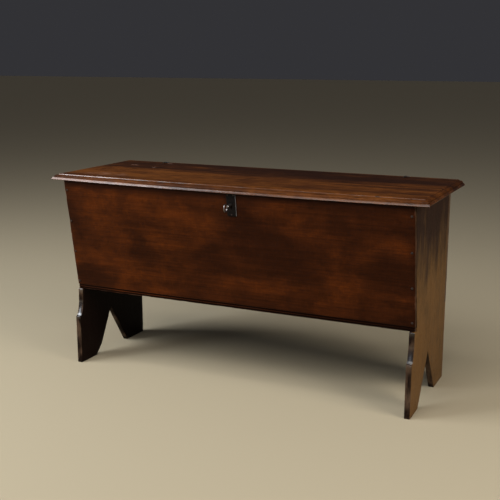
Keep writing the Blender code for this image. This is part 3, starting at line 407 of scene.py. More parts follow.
front = bmesh.new()
bmesh.ops.create_cube(front, size=1.0)
bmesh.ops.scale(front, verts=front.verts, vec=(front_high.x - front_low.x, front_depth, front_rise))
bmesh.ops.translate(front, verts=front.verts, vec=front_middle)
round_arrises(front, ARRIS_WIDTH, lambda edge: True)
saw_into_cells(front, (BOARD_CELL, None, BOARD_CELL))
for rise in SCRATCH_RISES:
    for offset in (-SCRATCH_HALF_WIDTH, -SCRATCH_FLOOR, SCRATCH_FLOOR, SCRATCH_HALF_WIDTH):
        saw_at(front, (0, 0, front_low.z + (rise + offset) * math.cos(LEAN)), (0, 0, 1))
mortise_low = KEYHOLE.z + MORTISE_BOTTOM * math.cos(LEAN)
mortise_high = KEYHOLE.z + MORTISE_TOP * math.cos(LEAN)
for height in (mortise_low, mortise_high):
    saw_at(front, (0, 0, height), (0, 0, 1))
for offset in (-MORTISE_HALF_WIDTH, MORTISE_HALF_WIDTH):
    saw_at(front, (KEYHOLE.x + offset, 0, 0), (1, 0, 0))


def in_mortise(face):
    """Whether a face of the upright board lies where the key's mortise goes."""
    middle = face.calc_center_median()
    across = abs(middle.x - KEYHOLE.x) < MORTISE_HALF_WIDTH
    return across and mortise_low < middle.z < mortise_high


bmesh.ops.delete(front, geom=[face for face in front.faces if in_mortise(face)], context="FACES")
bmesh.ops.bridge_loops(front, edges=[edge for edge in front.edges if edge.is_boundary])
raw, tone, polish = layer(front, "raw"), layer(front, "tone"), layer(front, "polish")
for vert in front.verts:
    on_lower_arris = vert.co.z < front_low.z + ARRIS_WIDTH and vert.co.y < front_middle.y
    vert[polish] = LOWER_ARRIS_POLISH if on_lower_arris else 0.0
    vert[raw] = 1.0 if vert.co.y > front_middle.y + front_depth * RAW_BACK_SHARE else 0.0
for rise in SCRATCH_RISES:
    line = front_low.z + rise * math.cos(LEAN)
    for vert in front.verts:
        if abs(vert.co.z - line) < SCRATCH_FLOOR + 2e-4 and vert.co.y < front_middle.y:
            vert.co.y += SCRATCH_DEPTH * (0.8 + 0.4 * noise.noise(vert.co * SCRATCH_WAVES))
            # The scratched lines are darkened.
            vert[tone] = SCRATCH_DARKENING
for vert in front.verts:
    vert.co.y += (front_high.z - vert.co.z) * math.tan(LEAN)
weather(front, seed=1, hollow=0.0009, dent=0.0011, grain=X_AXIS)
# The patches hold patina, and a painted shade along the top under the lid's nose.
lay_tone_patches(front, FRONT_PATCHES, up=Z_AXIS)
FRONT_OAK = oak(
    "front_oak", X_AXIS, seed=1,
    deep=(0.022, 0.0055, 0.0016), brown=(0.045, 0.0106, 0.0023), warm=(0.077, 0.0172, 0.0028),
    bare=(0.12, 0.052, 0.028), gloss=0.42, level=0.04, streak=0.3,
)
finish_piece("front_plank", front, "carcass", FRONT_OAK, ["front_board"])


# The two end planks, grain upright, are the legs as well: rebated for the boards, coved above a pointed foot,
# with a V sawn out of the base whose kerf runs on past the apex. The sawn and rubbed arrises of the feet are
# rounded by wear.
END_CELL = 0.010
FOOT_ARRIS = 0.0009
SHOULDER_ROUND = 0.0026
# How near the shoulder's height an edge lies to be its arris, to be level with it, and to be beside it.
SHOULDER_EDGE = 0.001
SHOULDER_BAND = 0.0006
SHOULDER_ZONE = 0.010
NOTCH_HALF_WIDTH = 0.060
NOTCH_BACK = 0.125
KERF_HALF_WIDTH = 0.0030
KERF_FOOT = 0.120
LEG_FRONT = -0.120
COVE_FOOT = 0.146
COVE_HEAD = 0.195
COVE_FULLNESS = 0.0016
SHORTEST_ARRIS = 0.0025
HEEL_TOP = 0.130
HEEL_HEIGHT = 0.030
HEEL_BULGE = 0.011
HEEL_ZONE = 0.005
FACE_SKIN = 0.0005
SOLE_SKIN = 0.001
# The inner face is raw wood from the chest's floor up, and painted shade darkens it below that and on the
# faces of the V notch. Outside, the face is painted lighter at the foot, for light bounced from the floor,
# and darker between two heights towards the top, for shade under the lid's overhang.
RAW_FOOT = 0.243
RAW_FADE = 0.001
PAINTED_SHADE_FOOT = 0.27
PAINTED_SHADE_HEAD = 0.50
PAINTED_LIGHT_AND_SHADE_TONES = (1.0, -1.2)
INNER_PAINTED_SHADE = -2.8
EDGE_TONE = -2.7


def merged_copy(node):
    """A bmesh copy of a CAD solid, its loose triangles merged into whole flat faces."""
    shape = bmesh.new()
    shape.from_mesh(frame["nodes"][node].data)
    bmesh.ops.remove_doubles(shape, verts=shape.verts, dist=1e-5)
    bmesh.ops.dissolve_limit(shape, angle_limit=math.radians(1), verts=shape.verts, edges=shape.edges)
    return shape


def between_ends(value, low, high, at_low, at_high):
    """A value's straight climb from one bound to another, held beyond them."""
    return at_low + (at_high - at_low) * min(1.0, max(0.0, (value - low) / (high - low)))


SHOULDER = front_low.z


def is_cross_arris(edge):
    """Whether an edge runs across the leg's front, as the shoulder's and the beak's do."""
    first, second = (vert.co for vert in edge.verts)
    in_front = max(first.y, second.y) < LEG_FRONT and min(first.z, second.z) > COVE_FOOT
    return in_front and abs(first.z - second.z) < 1e-5 and abs(first.y - second.y) < 1e-5


def is_shoulder_arris(edge):
    """Whether an edge runs across the shoulder, under the front board."""
    return is_cross_arris(edge) and edge.verts[0].co.z > SHOULDER - SHOULDER_EDGE


def is_foot_arris(edge, kerf_y):
    """Whether an edge belongs to the open outline of the legs, apart from the kerf."""
    first, second = (vert.co for vert in edge.verts)
    lower, upper = sorted((first.z, second.z))
    if is_cross_arris(edge):
        return first.z < SHOULDER - SHOULDER_ZONE
    if lower > SHOULDER - SHOULDER_BAND or upper > SHOULDER + SHOULDER_BAND:
        return False
    if edge.calc_length() < SHORTEST_ARRIS and lower < SHOULDER - 2 * SHOULDER_ROUND:
        return False
    in_kerf = all(abs(co.y - kerf_y) < KERF_HALF_WIDTH and co.z > KERF_FOOT for co in (first, second))
    return not in_kerf and abs(first.x - second.x) < 1e-5


END_OAK = oak(
    "end_oak", Z_AXIS, seed=4,
    deep=(0.028, 0.0130, 0.0086), brown=(0.104, 0.054, 0.0195), warm=(0.140, 0.070, 0.0235),
    bare=(0.10, 0.060, 0.036), gloss=0.46, level=0.04, streak=0.45, relief=0.4, open_grain=0.2,
    polish_gloss=0.22,
)
for name, node, side, seed, cove_polish in (
    ("left_end_plank", "left_end", -1, 5, 1.0), ("right_end_plank", "right_end", 1, 6, 0.6),
):
    end_low, end_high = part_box(node)
    end = merged_copy(node)
    kerf_places = [
        vert.co for vert in end.verts
        if KERF_FOOT < vert.co.z < SHOULDER - SHOULDER_ZONE and abs(vert.co.y) < NOTCH_HALF_WIDTH
    ]
    kerf_tip = max(kerf_places, key=lambda co: co.z)
    notch_front = max(vert.co.y for vert in end.verts if vert.co.z < 1e-4 and vert.co.y < 0)

    round_arrises(end, SHOULDER_ROUND, is_shoulder_arris, segments=4)
    round_arrises(end, FOOT_ARRIS, lambda edge: is_foot_arris(edge, kerf_tip.y), clamped=False)
    saw_into_cells(end, (None, END_CELL, END_CELL))
    saw_at(end, (0, 0, RAW_FOOT), (0, 0, 1))
    saw_at(end, (0, 0, RAW_FOOT - RAW_FADE), (0, 0, 1))
    inner_face = end_low.x if side > 0 else end_high.x
    outer_face = end_high.x if side > 0 else end_low.x
    raw, tone, polish = layer(end, "raw"), layer(end, "tone"), layer(end, "polish")
    for vert in end.verts:
        inside = abs(vert.co.x - inner_face) < FACE_SKIN
        outside = abs(vert.co.x - outer_face) < FACE_SKIN
        vert[raw] = 1.0 if inside and vert.co.z > RAW_FOOT - 1e-4 else 0.0
        in_notch = LEG_FRONT < vert.co.y < NOTCH_BACK and vert.co.z > SOLE_SKIN
        # Painted shade on the inner face and in the V notch.
        vert[tone] = INNER_PAINTED_SHADE if inside or in_notch else EDGE_TONE
        if outside:
            # Painted light bounced from the floor at the foot, painted shade under the lid's overhang towards
            # the top.
            vert[tone] = between_ends(vert.co.z, PAINTED_SHADE_FOOT, PAINTED_SHADE_HEAD, *PAINTED_LIGHT_AND_SHADE_TONES)
        beside_cove = COVE_FOOT < vert.co.z < COVE_HEAD
        if not (inside or outside) and vert.co.y < LEG_FRONT and vert.co.z < SHOULDER + SHOULDER_ZONE:
            vert[polish] = cove_polish if beside_cove or vert.co.z > SHOULDER - 2 * SHOULDER_ROUND else 0.0
        if beside_cove and vert.co.y < LEG_FRONT:
            climb = (vert.co.z - COVE_FOOT) / (COVE_HEAD - COVE_FOOT)
            vert.co.y -= COVE_FULLNESS * math.sin(math.pi * climb)
        notch_line = notch_front + (kerf_tip.y - notch_front) * vert.co.z / kerf_tip.z
        if side < 0 and vert.co.z < HEEL_TOP and abs(vert.co.y - notch_line) < HEEL_ZONE:
            climb = min(vert.co.z / HEEL_HEIGHT, (HEEL_TOP - vert.co.z) / (HEEL_TOP - HEEL_HEIGHT))
            vert.co.y += HEEL_BULGE * climb
    weather(end, seed, hollow=0.0003, dent=0.0006, grain=Z_AXIS, floor_height=0.0)
    finish_piece(name, end, "carcass", END_OAK, [node])


# The back board and the bottom board were never polished: dry, greyer oak with the plane's marks left in it.
# The back is nailed into the end planks' rebates, and the bottom is housed between the ends.
PLAIN_CELL = BOARD_CELL * 1.5

INSIDE_OAK = oak(
    "inside_oak", X_AXIS, seed=9,
    deep=(0.050, 0.028, 0.016), brown=(0.100, 0.060, 0.034), warm=(0.120, 0.068, 0.036),
    bare=(0.16, 0.105, 0.065), gloss=0.62, level=0.25, streak=0.6, relief=0.9, raw_share=0.6,
)
for name, node, seed, spacing in (
    ("back_plank", "back_board", 8, (PLAIN_CELL, None, PLAIN_CELL)),
    ("bottom_plank", "bottom_board", 10, (PLAIN_CELL, PLAIN_CELL, None)),
):
    board = merged_copy(node)
    saw_into_cells(board, spacing)
    weather(board, seed, hollow=0.0006, dent=0.0, grain=X_AXIS)
    finish_piece(name, board, "carcass", INSIDE_OAK, [node])


# The lid: one plank with a moulding run round its front and ends with a scratch plane: a nose, a quirk, an
# ovolo and a fillet. Hands have rubbed the nose to a slope, worn the front edge wavy and knocked a chip off
# its right corner.
LID_CELL = 0.007
LID_CROSS_CELL = LID_CELL * 1.4
# The nose and the fillet as (inset from the lid's edge, height above its underside or below its top).
NOSE_PROFILE = (
    (0.0040, 0), (0.0022, 0.0001), (0.0010, 0.0005), (0.0003, 0.0012), (0, 0.0020), (0.0009, 0.0037),
    (0.0020, 0.0054), (0.0026, 0.0064), (0.0032, 0.0071), (0.0040, 0.0074), (0.0044, 0.0068),
    (0.0058, 0.0062), (0.0062, 0.0076), (0.0062, 0.0090),
)
FILLET_PROFILE = (
    (0.0162, 0.0024), (0.0163, 0.0016), (0.0166, 0.0009), (0.0172, 0.0004), (0.0180, 0.0001), (0.0190, 0),
)
LID_OVOLO_WIDTH = 0.0094
OVOLO_STEPS = 8
# How far in from the lid's edge the nose ends, the fillet starts and ends, and the moulding and the worn
# margin end; and how far above the ovolo's foot the fillet starts.
NOSE_BACK = 0.0041
FILLET_FRONT = FILLET_PROFILE[0][0] - 1e-4
FILLET_RISE = 0.003
FILLET_BACK = 0.0175
MOULDING_BACK = 0.021
MARGIN = 0.026
# The front edge droops most at one place along it, in a curve of this reach. The droop fades by a power and
# ends at one depth behind the nose in the lower share of the lid's thickness, and at another above it.
LID_DROOP = 0.0055
DROOP_MIDDLE = 0.10
DROOP_REACH = 0.67
DROOP_POWER = 0.7
UNDER_SHARE = 0.3
UNDER_DEPTH = 0.0065
UPPER_DEPTH = 0.024
# Rubbing and fraying of the nose and of the fillet: where each goes and how deep, and its waves in a metre.
NOSE_ZONE = 0.005
NOSE_RUB = 0.0007
NOSE_FRAY = 0.0006
FILLET_SHARE = 0.80
FILLET_LINE = 0.0168
FILLET_ZONE = 0.007
FILLET_RUB = 0.0006
FILLET_FRAY = 0.0005
EDGE_RUB_WAVES = 9
EDGE_RUB_ROW = 3.3
EDGE_FRAY_WAVES = 27
EDGE_FRAY_ROW = 8.1
FRAY_FLOOR = 0.15
CHIP_REACH = 0.012
CHIP_DEPTH = 0.0022
CHIP_WAY = Vector((-1, 1, 0.3)).normalized()
NICK_HALF_WIDTH = 0.0026
NICK_WALL = 0.0002
NICK_REACH = 0.0072
NICK_MOVE = Vector((0, -NICK_REACH * 0.8, NICK_REACH * 0.7))
# Wear and polish fade along the lid, and the wear's fade is also a painted highlight, brightest at the left
# end:
# the fade's first and last place, and the amount at each.
NOSE_WEAR_AND_HIGHLIGHT = (-0.45, 0.10, 0.75, 0.40)
FILLET_WEAR_AND_HIGHLIGHT = (-0.45, -0.20, 0.90, 0.40)
FILLET_POLISH = (-0.25, -0.05, 1.0, 0.35)
NOSE_POLISH = 0.3
SHEEN_WAVES = 40
# Patches of the lid's patina: middle x and y, half width, half depth, and how much lighter or darker.
LID_PATCHES = (
    (-0.40, -0.06, 0.22, 0.09, 1.00), (-0.05, -0.06, 0.30, 0.06, 0.25), (0.30, -0.06, 0.25, 0.05, 0.55),
    (0.0, 0.18, 0.70, 0.05, -1.10), (0.05, 0.10, 0.50, 0.03, -0.50), (-0.24, 0.137, 0.035, 0.014, 1.60),
    (0.30, 0.09, 0.25, 0.05, -0.60), (0.40, -0.15, 0.12, 0.02, 0.30),
)
# Knots and scuffs of the lid's upper face: middle x and y, half width, half depth, and how bare a scuff is.
SPOT_DEPTH = 0.012
LID_KNOTS = (
    (-0.50, -0.013, 0.016, 0.008), (0.43, -0.168, 0.010, 0.004), (0.245, -0.115, 0.030, 0.0025),
    (0.31, -0.125, 0.024, 0.003), (-0.20, 0.105, 0.060, 0.004),
)
LID_SCUFFS = (
    (-0.466, 0.113, 0.026, 0.007, 0.90), (-0.376, 0.082, 0.013, 0.008, 0.90),
    (-0.379, 0.187, 0.018, 0.007, 0.80), (0.03, -0.155, 0.12, 0.022, 0.36),
    (-0.15, -0.160, 0.22, 0.014, 0.30), (-0.42, -0.110, 0.20, 0.075, 0.52),
)

lid_low, lid_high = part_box("lid")
lid_thickness = lid_high.z - lid_low.z


def on_top(x, y, half_width, half_depth):
    """A spot's middle on the lid's top, and its half sizes."""
    return (x, y, lid_high.z), (half_width, half_depth, SPOT_DEPTH)


LID_OAK = oak(
    "lid_oak", X_AXIS, seed=14,
    deep=(0.022, 0.0072, 0.0030), brown=(0.066, 0.0200, 0.0046), warm=(0.118, 0.0380, 0.0074),
    bare=(0.23, 0.130, 0.095), gloss=0.44, level=0.06, streak=0.7, relief=0.7, open_grain=0.7,
    knots=[on_top(*knot) for knot in LID_KNOTS],
    scuffs=[(*on_top(*spot), bareness) for *spot, bareness in LID_SCUFFS],
)
profile = list(NOSE_PROFILE)
quirk, ovolo_foot = NOSE_PROFILE[-1]
ovolo_rise = lid_thickness - FILLET_PROFILE[0][1] - ovolo_foot
for step in range(1, OVOLO_STEPS + 1):
    turn = math.pi / 2 * step / OVOLO_STEPS
    inset = quirk + LID_OVOLO_WIDTH * (1 - math.cos(turn))
    profile.append((inset, ovolo_foot + ovolo_rise * math.sin(turn)))
profile += [(inset, lid_thickness - depth) for inset, depth in FILLET_PROFILE]

lid = bmesh.new()
bmesh.ops.create_grid(lid, x_segments=1, y_segments=1, size=0.5)
upper = lid.faces[:][0]
for index, (inset, height) in enumerate(profile):
    if index:
        below = upper
        raised = bmesh.ops.extrude_face_region(lid, geom=[below])
        upper = next(item for item in raised["geom"] if isinstance(item, bmesh.types.BMFace))
        if index > 1:
            # Only the first face stays, as the underside: the others would be walls inside the lid.
            bmesh.ops.delete(lid, geom=[below], context="FACES_ONLY")
    for vert in upper.verts:
        vert.co.x = math.copysign(lid_high.x - inset, vert.co.x)
        vert.co.y = lid_low.y + inset if vert.co.y < 0 else lid_high.y
        vert.co.z = lid_low.z + height
saw_into_cells(lid, (LID_CELL, LID_CROSS_CELL, None))


def cut_nick(middle):
    """Nick the back of the lid's underside where a hinge eye comes up past it."""
    row_front = lid_high.y - NICK_REACH - 1e-5
    outer = NICK_HALF_WIDTH + NICK_WALL
    for offset in (-outer, -NICK_HALF_WIDTH, NICK_HALF_WIDTH, outer):
        back_row = [vert for vert in lid.verts if vert.co.y > row_front]
        back_row += [
            part for part in lid.edges[:] + lid.faces[:] if min(vert.co.y for vert in part.verts) > row_front
        ]
        saw_at(lid, (middle + offset, 0, 0), (1, 0, 0), back_row)
    for vert in lid.verts:
        on_back_arris = vert.co.y > lid_high.y - 1e-4 and vert.co.z < lid_low.z + 1e-4
        if on_back_arris and abs(vert.co.x - middle) < NICK_HALF_WIDTH + 1e-5:
            vert.co += NICK_MOVE


saw_at(lid, (0, lid_high.y - NICK_REACH, 0), (0, 1, 0))
for word in ("left", "right"):
    cut_nick(sum(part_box(f"lid_hinge_eye_{word}"), Vector()).x / 2)


def edge_inset(vert):
    """How far a point lies in from the lid's front or its nearer end."""
    return min(vert.co.y - lid_low.y, lid_high.x - abs(vert.co.x))


raw, wear, polish = layer(lid, "raw"), layer(lid, "wear"), layer(lid, "polish")
for vert in lid.verts:
    vert[raw] = 1.0 if vert.co.z < lid_low.z + 1e-5 else 0.0
    rise, inset = vert.co.z - lid_low.z, edge_inset(vert)
    on_nose = float(inset < NOSE_BACK and 0 < rise < ovolo_foot)
    on_fillet = float(FILLET_FRONT < inset < FILLET_BACK and rise > ovolo_foot + FILLET_RISE)
    # The nose and the fillet are worn lighter, and their fade from the left end is also a painted highlight.
    vert[wear] = between_ends(vert.co.x, *NOSE_WEAR_AND_HIGHLIGHT) * on_nose
    vert[wear] += between_ends(vert.co.x, *FILLET_WEAR_AND_HIGHLIGHT) * on_fillet
    sheen = between_ends(vert.co.x, *FILLET_POLISH) * (0.6 + 0.6 * noise.noise(vert.co * SHEEN_WAVES))
    vert[polish] = NOSE_POLISH * on_nose + sheen * on_fillet
moulding = [
    (vert, vert.co.copy()) for vert in lid.verts
    if edge_inset(vert) < MOULDING_BACK and vert.co.z > lid_low.z + 1e-5
]
weather(lid, seed=15, hollow=0.0007, dent=0.0, grain=X_AXIS)
for vert, place in moulding:
    vert.co = place
for vert in lid.verts:
    inset = edge_inset(vert)
    if inset > MARGIN:
        continue
    behind_nose = vert.co.y - lid_low.y
    at_front = behind_nose < lid_high.x - abs(vert.co.x)
    inward = Vector((0, 1, 0)) if at_front else Vector((-math.copysign(1, vert.co.x), 0, 0))
    along = vert.co.x if at_front else math.copysign(vert.co.y, vert.co.x) + inward.x
    rub = 0.5 + 0.5 * noise.noise(Vector((along * EDGE_RUB_WAVES, 0, EDGE_RUB_ROW)))
    fray = max(0.0, noise.noise(Vector((along * EDGE_FRAY_WAVES, 0, EDGE_FRAY_ROW))) - FRAY_FLOOR)
    top_share = (vert.co.z - lid_low.z) / lid_thickness
    slack = LID_DROOP * max(0.0, 1 - ((vert.co.x - DROOP_MIDDLE) / DROOP_REACH) ** 2)
    reach = UNDER_DEPTH if top_share < UNDER_SHARE else UPPER_DEPTH
    vert.co.z -= slack * max(0.0, 1 - behind_nose / reach) ** DROOP_POWER
    if inset < NOSE_ZONE:
        vert.co += inward * (NOSE_RUB * rub + NOSE_FRAY * fray)
    elif top_share > FILLET_SHARE:
        near_line = max(0.0, 1 - abs(inset - FILLET_LINE) / FILLET_ZONE)
        vert.co.z -= (FILLET_RUB * rub + FILLET_FRAY * fray) * near_line
    corner = (vert.co - Vector((lid_high.x, lid_low.y, lid_low.z))).length
    vert.co += CHIP_WAY * CHIP_DEPTH * max(0.0, 1 - corner / CHIP_REACH)
lay_tone_patches(lid, LID_PATCHES, up=Y_AXIS)
finish_piece("lid_plank", lid, "lid", LID_OAK, ["lid"])


# The nails are forged from square rod, with a tapering shank and a head hammered into a low rose of facets.
# Four hold each corner of the carcass, and five run through the back board into the bottom board's edge.
HEAD_SIDES = 5
HEAD_RAGGEDNESS = 0.16
HEAD_WAVES = 420
FACET_WIDTH = 0.0003
SHANK_SHARE = 0.48
# How far each nail is turned on its axis from the one before, in radians.
NAIL_TURN = 1.3
IRON_COLOURS = ((0.013, 0.011, 0.010), (0.036, 0.028, 0.024), (0.055, 0.026, 0.014))
NAIL_COLOURS = ((0.014, 0.009, 0.007), (0.034, 0.020, 0.014), (0.050, 0.022, 0.010))


def forged_iron(name, colours, metal, rough, worn_colour, level=0.5):
    """Forged iron gone brown and black: scale, a bloom of rust, hammer marks, and metal bared on arrises."""
    material, tree, shader = new_material(name)
    place = add_node(tree, "TexCoord").outputs["Object"]
    scale = mottle(tree, place, X_AXIS, 260.0, 260.0, 0, 5.0, 0.6)
    bloom = mottle(tree, place, X_AXIS, 95.0, 95.0, 4, 4.0, 0.6)
    specks = mottle(tree, place, X_AXIS, 1100.0, 1100.0, 2, 2.0)
    dark, brown, rust = colours
    colour = blend_colours(tree, between(tree, scale, 0.38, 0.66), dark, brown)
    rusted = between(tree, bloom, 0.52, 0.70)
    colour = blend_colours(tree, math_of(tree, "MULTIPLY", rusted, 0.7), colour, rust)
    # A low tone darkens the iron: the escutcheon's painted shadow of the lid.
    colour = shade_colour(tree, colour, between(tree, read_layer(tree, "tone"), -1.0, 0.0, 0.2, 1.0))
    speckled_wear = math_of(tree, "MULTIPLY_ADD", specks, 0.7, read_layer(tree, "wear"))
    bared = between(tree, speckled_wear, 0.75, 1.25)
    colour = blend_colours(tree, bared, colour, worn_colour)
    tree.links.new(colour, shader.inputs["Base Color"])
    tree.links.new(math_of(tree, "MULTIPLY_ADD", rusted, -0.5 * metal, metal), shader.inputs["Metallic"])
    roughness = math_of(tree, "MULTIPLY_ADD", scale, 0.22, rough)
    roughness = math_of(tree, "MULTIPLY_ADD", bared, -0.16, roughness)
    tree.links.new(roughness, shader.inputs["Roughness"])
    shader.inputs["Specular IOR Level"].default_value = level
    add_relief(tree, shader, math_of(tree, "MULTIPLY_ADD", specks, 0.25, scale), 0.6, 0.0003)
    return material


def turn_profile(profile, steps):
    """A closed solid turned from (radius, height) points that start and end on the Z axis."""
    shape = bmesh.new()
    rail = [shape.verts.new((radius, 0, height)) for radius, height in profile]
    edges = [shape.edges.new(pair) for pair in zip(rail, rail[1:])]
    bmesh.ops.spin(
        shape, geom=rail + edges, cent=(0, 0, 0), axis=(0, 0, 1),
        angle=2 * math.pi, steps=steps, use_merge=True,
    )
    bmesh.ops.remove_doubles(shape, verts=shape.verts, dist=1e-6)
    bmesh.ops.recalc_face_normals(shape, faces=shape.faces)
    return shape


def wear_arrises(shape, on_arrises, elsewhere):
    """Wear a shape's rounded arrises by one amount, and the rest of it by another."""
    mark = shape.faces.layers.int["arris"]
    wear = layer(shape, "wear")
    for vert in shape.verts:
        vert[wear] = on_arrises if any(face[mark] for face in vert.link_faces) else elsewhere


def forge_nail(node, seed, body):
    """Forge a nail on the axis of its CAD solid, its faceted head as wide and as high as the solid's."""
    points = [vert.co.copy() for vert in frame["nodes"][node].data.vertices]
    pairs = ((first, second) for first in points for second in points)
    first, second = max(pairs, key=lambda pair: (pair[0] - pair[1]).length)
    line = (second - first).normalized()
    girths = [(point - first - line * (point - first).dot(line)).length for point in points]
    head_radius = max(girths)
    rim = points[girths.index(head_radius)]
    crown, tip = sorted((first, second), key=lambda end: (end - rim).length)
    outward = (crown - tip).normalized()
    seat = crown + outward * (rim - crown).dot(outward)
    head_height = (crown - seat).length
    shank_length = (seat - tip).length
    shank = head_radius * SHANK_SHARE
    profile = [
        (0, -shank_length), (shank * 0.4, -shank_length), (shank, 0), (head_radius, 0),
        (head_radius * 0.88, head_height * 0.42), (head_radius * 0.34, head_height * 0.98), (0, head_height),
    ]
    nail = turn_profile(profile, HEAD_SIDES)
    for vert in nail.verts:
        if vert.co.z > -1e-6:
            unevenness = noise.noise(vert.co * HEAD_WAVES + Vector((seed, 0, 0)))
            ragged = 1 - HEAD_RAGGEDNESS * (0.5 + 0.5 * unevenness)
            vert.co.x *= ragged
            vert.co.y *= ragged
    round_arrises(nail, FACET_WIDTH, lambda edge: min(vert.co.z for vert in edge.verts) > 1e-5)
    wear_arrises(nail, on_arrises=0.6, elsewhere=0.1)
    upright = outward.to_track_quat("Z", "Y").to_matrix().to_4x4()
    turned = Matrix.Rotation(seed * NAIL_TURN, 4, "Z")
    bmesh.ops.transform(nail, matrix=Matrix.Translation(seat) @ upright @ turned, verts=nail.verts)
    finish_piece(node + "_forged", nail, body, NAIL_IRON, [node], sharp=25)


def forge_nails(starts, first_seed, body):
    """Forge every nail or tack whose node's name starts so."""
    names = sorted(name for name in frame["nodes"] if name.startswith(starts))
    for seed, node in enumerate(names, first_seed):
        forge_nail(node, seed, body)


NAIL_IRON = forged_iron("nail_iron", NAIL_COLOURS, 0.0, 0.55, (0.070, 0.040, 0.026), level=0.15)
forge_nails(("back_nail", "bottom_nail", "front_nail"), 0, "carcass")


# The wire hinges at the back are two loops of forged wire, one through the other: a staple through the back
# board, clinched inside, and an eye whose legs come up through the lid and are hammered over its top.
WIRE_DENTS = 0.0002
WIRE_DENT_WAVES = 300

HINGE_IRON = forged_iron("hinge_iron", IRON_COLOURS, 0.55, 0.46, (0.16, 0.14, 0.125))
for word in ("left", "right"):
    for node, body in ((f"hinge_staple_{word}", "carcass"), (f"lid_hinge_eye_{word}", "lid")):
        loop = bmesh.new()
        loop.from_mesh(frame["nodes"][node].data)
        bmesh.ops.remove_doubles(loop, verts=loop.verts, dist=1e-5)
        bmesh.ops.join_triangles(
            loop, faces=loop.faces,
            angle_face_threshold=math.radians(50), angle_shape_threshold=math.radians(60),
        )
        bmesh.ops.subdivide_edges(loop, edges=loop.edges, cuts=1, smooth=0.6, use_grid_fill=True)
        loop.normal_update()
        for vert in loop.verts:
            dented = 0.5 + 0.5 * noise.noise(vert.co * WIRE_DENT_WAVES)
            vert.co -= vert.normal * WIRE_DENTS * dented
        finish_piece(node + "_wire", loop, body, HINGE_IRON, [node], sharp=60)


# The escutcheon is a small oblong of sheet iron with its corners nipped off, filed thin at its edges and
# tacked over the keyhole with three rose-headed tacks. Its right-hand edge is lighter, and a painted shadow
# of the lid darkens its top.
PLATE_CELL = 0.0022
PLATE_ARRIS = 0.0004
LID_SHADOW_REACH = 0.024
BRIGHT_EDGE = 0.0016
PLATE_COLOURS = ((0.0036, 0.0026, 0.0023), (0.0080, 0.0058, 0.0050), (0.014, 0.008, 0.0055))

PLATE_IRON = forged_iron("plate_iron", PLATE_COLOURS, 0.2, 0.46, (0.17, 0.165, 0.17), level=0.08)
to_lock = Matrix.Translation(KEYHOLE) @ Matrix.Rotation(LEAN, 4, "X")
plate = merged_copy("escutcheon")
bmesh.ops.transform(plate, matrix=to_lock.inverted(), verts=plate.verts)
plate_face = min(vert.co.y for vert in plate.verts)
round_arrises(plate, PLATE_ARRIS, lambda edge: all(vert.co.y < plate_face + 1e-5 for vert in edge.verts))
saw_into_cells(plate, (PLATE_CELL, None, PLATE_CELL))
weather(plate, seed=21, hollow=0.00018, dent=0.00015, grain=X_AXIS)
wear, tone = layer(plate, "wear"), layer(plate, "tone")
right_edge = max(vert.co.x for vert in plate.verts)
upper_edge = max(vert.co.z for vert in plate.verts)
for vert in plate.verts:
    # Painted shadow of the lid, darkest at the plate's top.
    vert[tone] = -max(0.0, 1 - (upper_edge - vert.co.z) / LID_SHADOW_REACH)
    nearness = max(0.0, 1 - (right_edge - vert.co.x) / BRIGHT_EDGE)
    vert[wear] = max(vert[wear] * 0.6, nearness)
bmesh.ops.transform(plate, matrix=to_lock, verts=plate.verts)
finish_piece("escutcheon_plate", plate, "carcass", PLATE_IRON, ["escutcheon"])
forge_nails("escutcheon_tack", 40, "carcass")


# The lock is nailed to the inside of the front board: a sheet-iron case with two lugs, a bolt that slides
# through them, and a leaf spring that bears on the bolt. The catch under the lid drops its loop into it.
LOCK_ARRIS = 0.0003
SHORTEST_LOCK_EDGE = 0.0012
STEEL_COLOUR = (0.24, 0.22, 0.22)
STAIN_COLOUR = (0.085, 0.060, 0.045)


def worn_steel(name):
    """Filed steel: bright, faintly scratched, and stained brown where hands haven't kept it clean."""
    material, tree, shader = new_material(name)
    place = add_node(tree, "TexCoord").outputs["Object"]
    stain = mottle(tree, place, X_AXIS, 170.0, 170.0, 6, 5.0, 0.62)
    scratches = mottle(tree, place, X_AXIS, 300.0, 2600.0, 3, 2.0)
    stained = between(tree, stain, 0.45, 0.66)
    tree.links.new(blend_colours(tree, stained, STEEL_COLOUR, STAIN_COLOUR), shader.inputs["Base Color"])
    shader.inputs["Metallic"].default_value = 1.0
    roughness = math_of(tree, "MULTIPLY_ADD", scratches, 0.16, 0.24)
    roughness = math_of(tree, "MULTIPLY_ADD", stained, 0.20, roughness)
    tree.links.new(roughness, shader.inputs["Roughness"])
    add_relief(tree, shader, math_of(tree, "MULTIPLY_ADD", scratches, 0.3, stain), 0.35, 0.0002)
    return material


LOCK_IRON = forged_iron("lock_iron", IRON_COLOURS, 0.6, 0.44, (0.20, 0.18, 0.165))
STEEL = worn_steel("worn_steel")
for node, body, slot, material in (
    ("lock_case", "carcass", "wrought_iron", LOCK_IRON), ("lock_bolt", "bolt", "bright_iron", STEEL),
    ("lock_spring", "carcass", "bright_iron", STEEL), ("lid_catch", "lid", "wrought_iron", LOCK_IRON),
):
    fitting = merged_copy(node)
    round_arrises(fitting, LOCK_ARRIS, lambda edge: edge.calc_length() > SHORTEST_LOCK_EDGE)
    wear_arrises(fitting, on_arrises=0.55, elsewhere=0.0)
    finish_piece(node + "_filed", fitting, body, material, [node])
forge_nails("lock_case_nail", 50, "carcass")
forge_nails("catch_tack", 60, "lid")


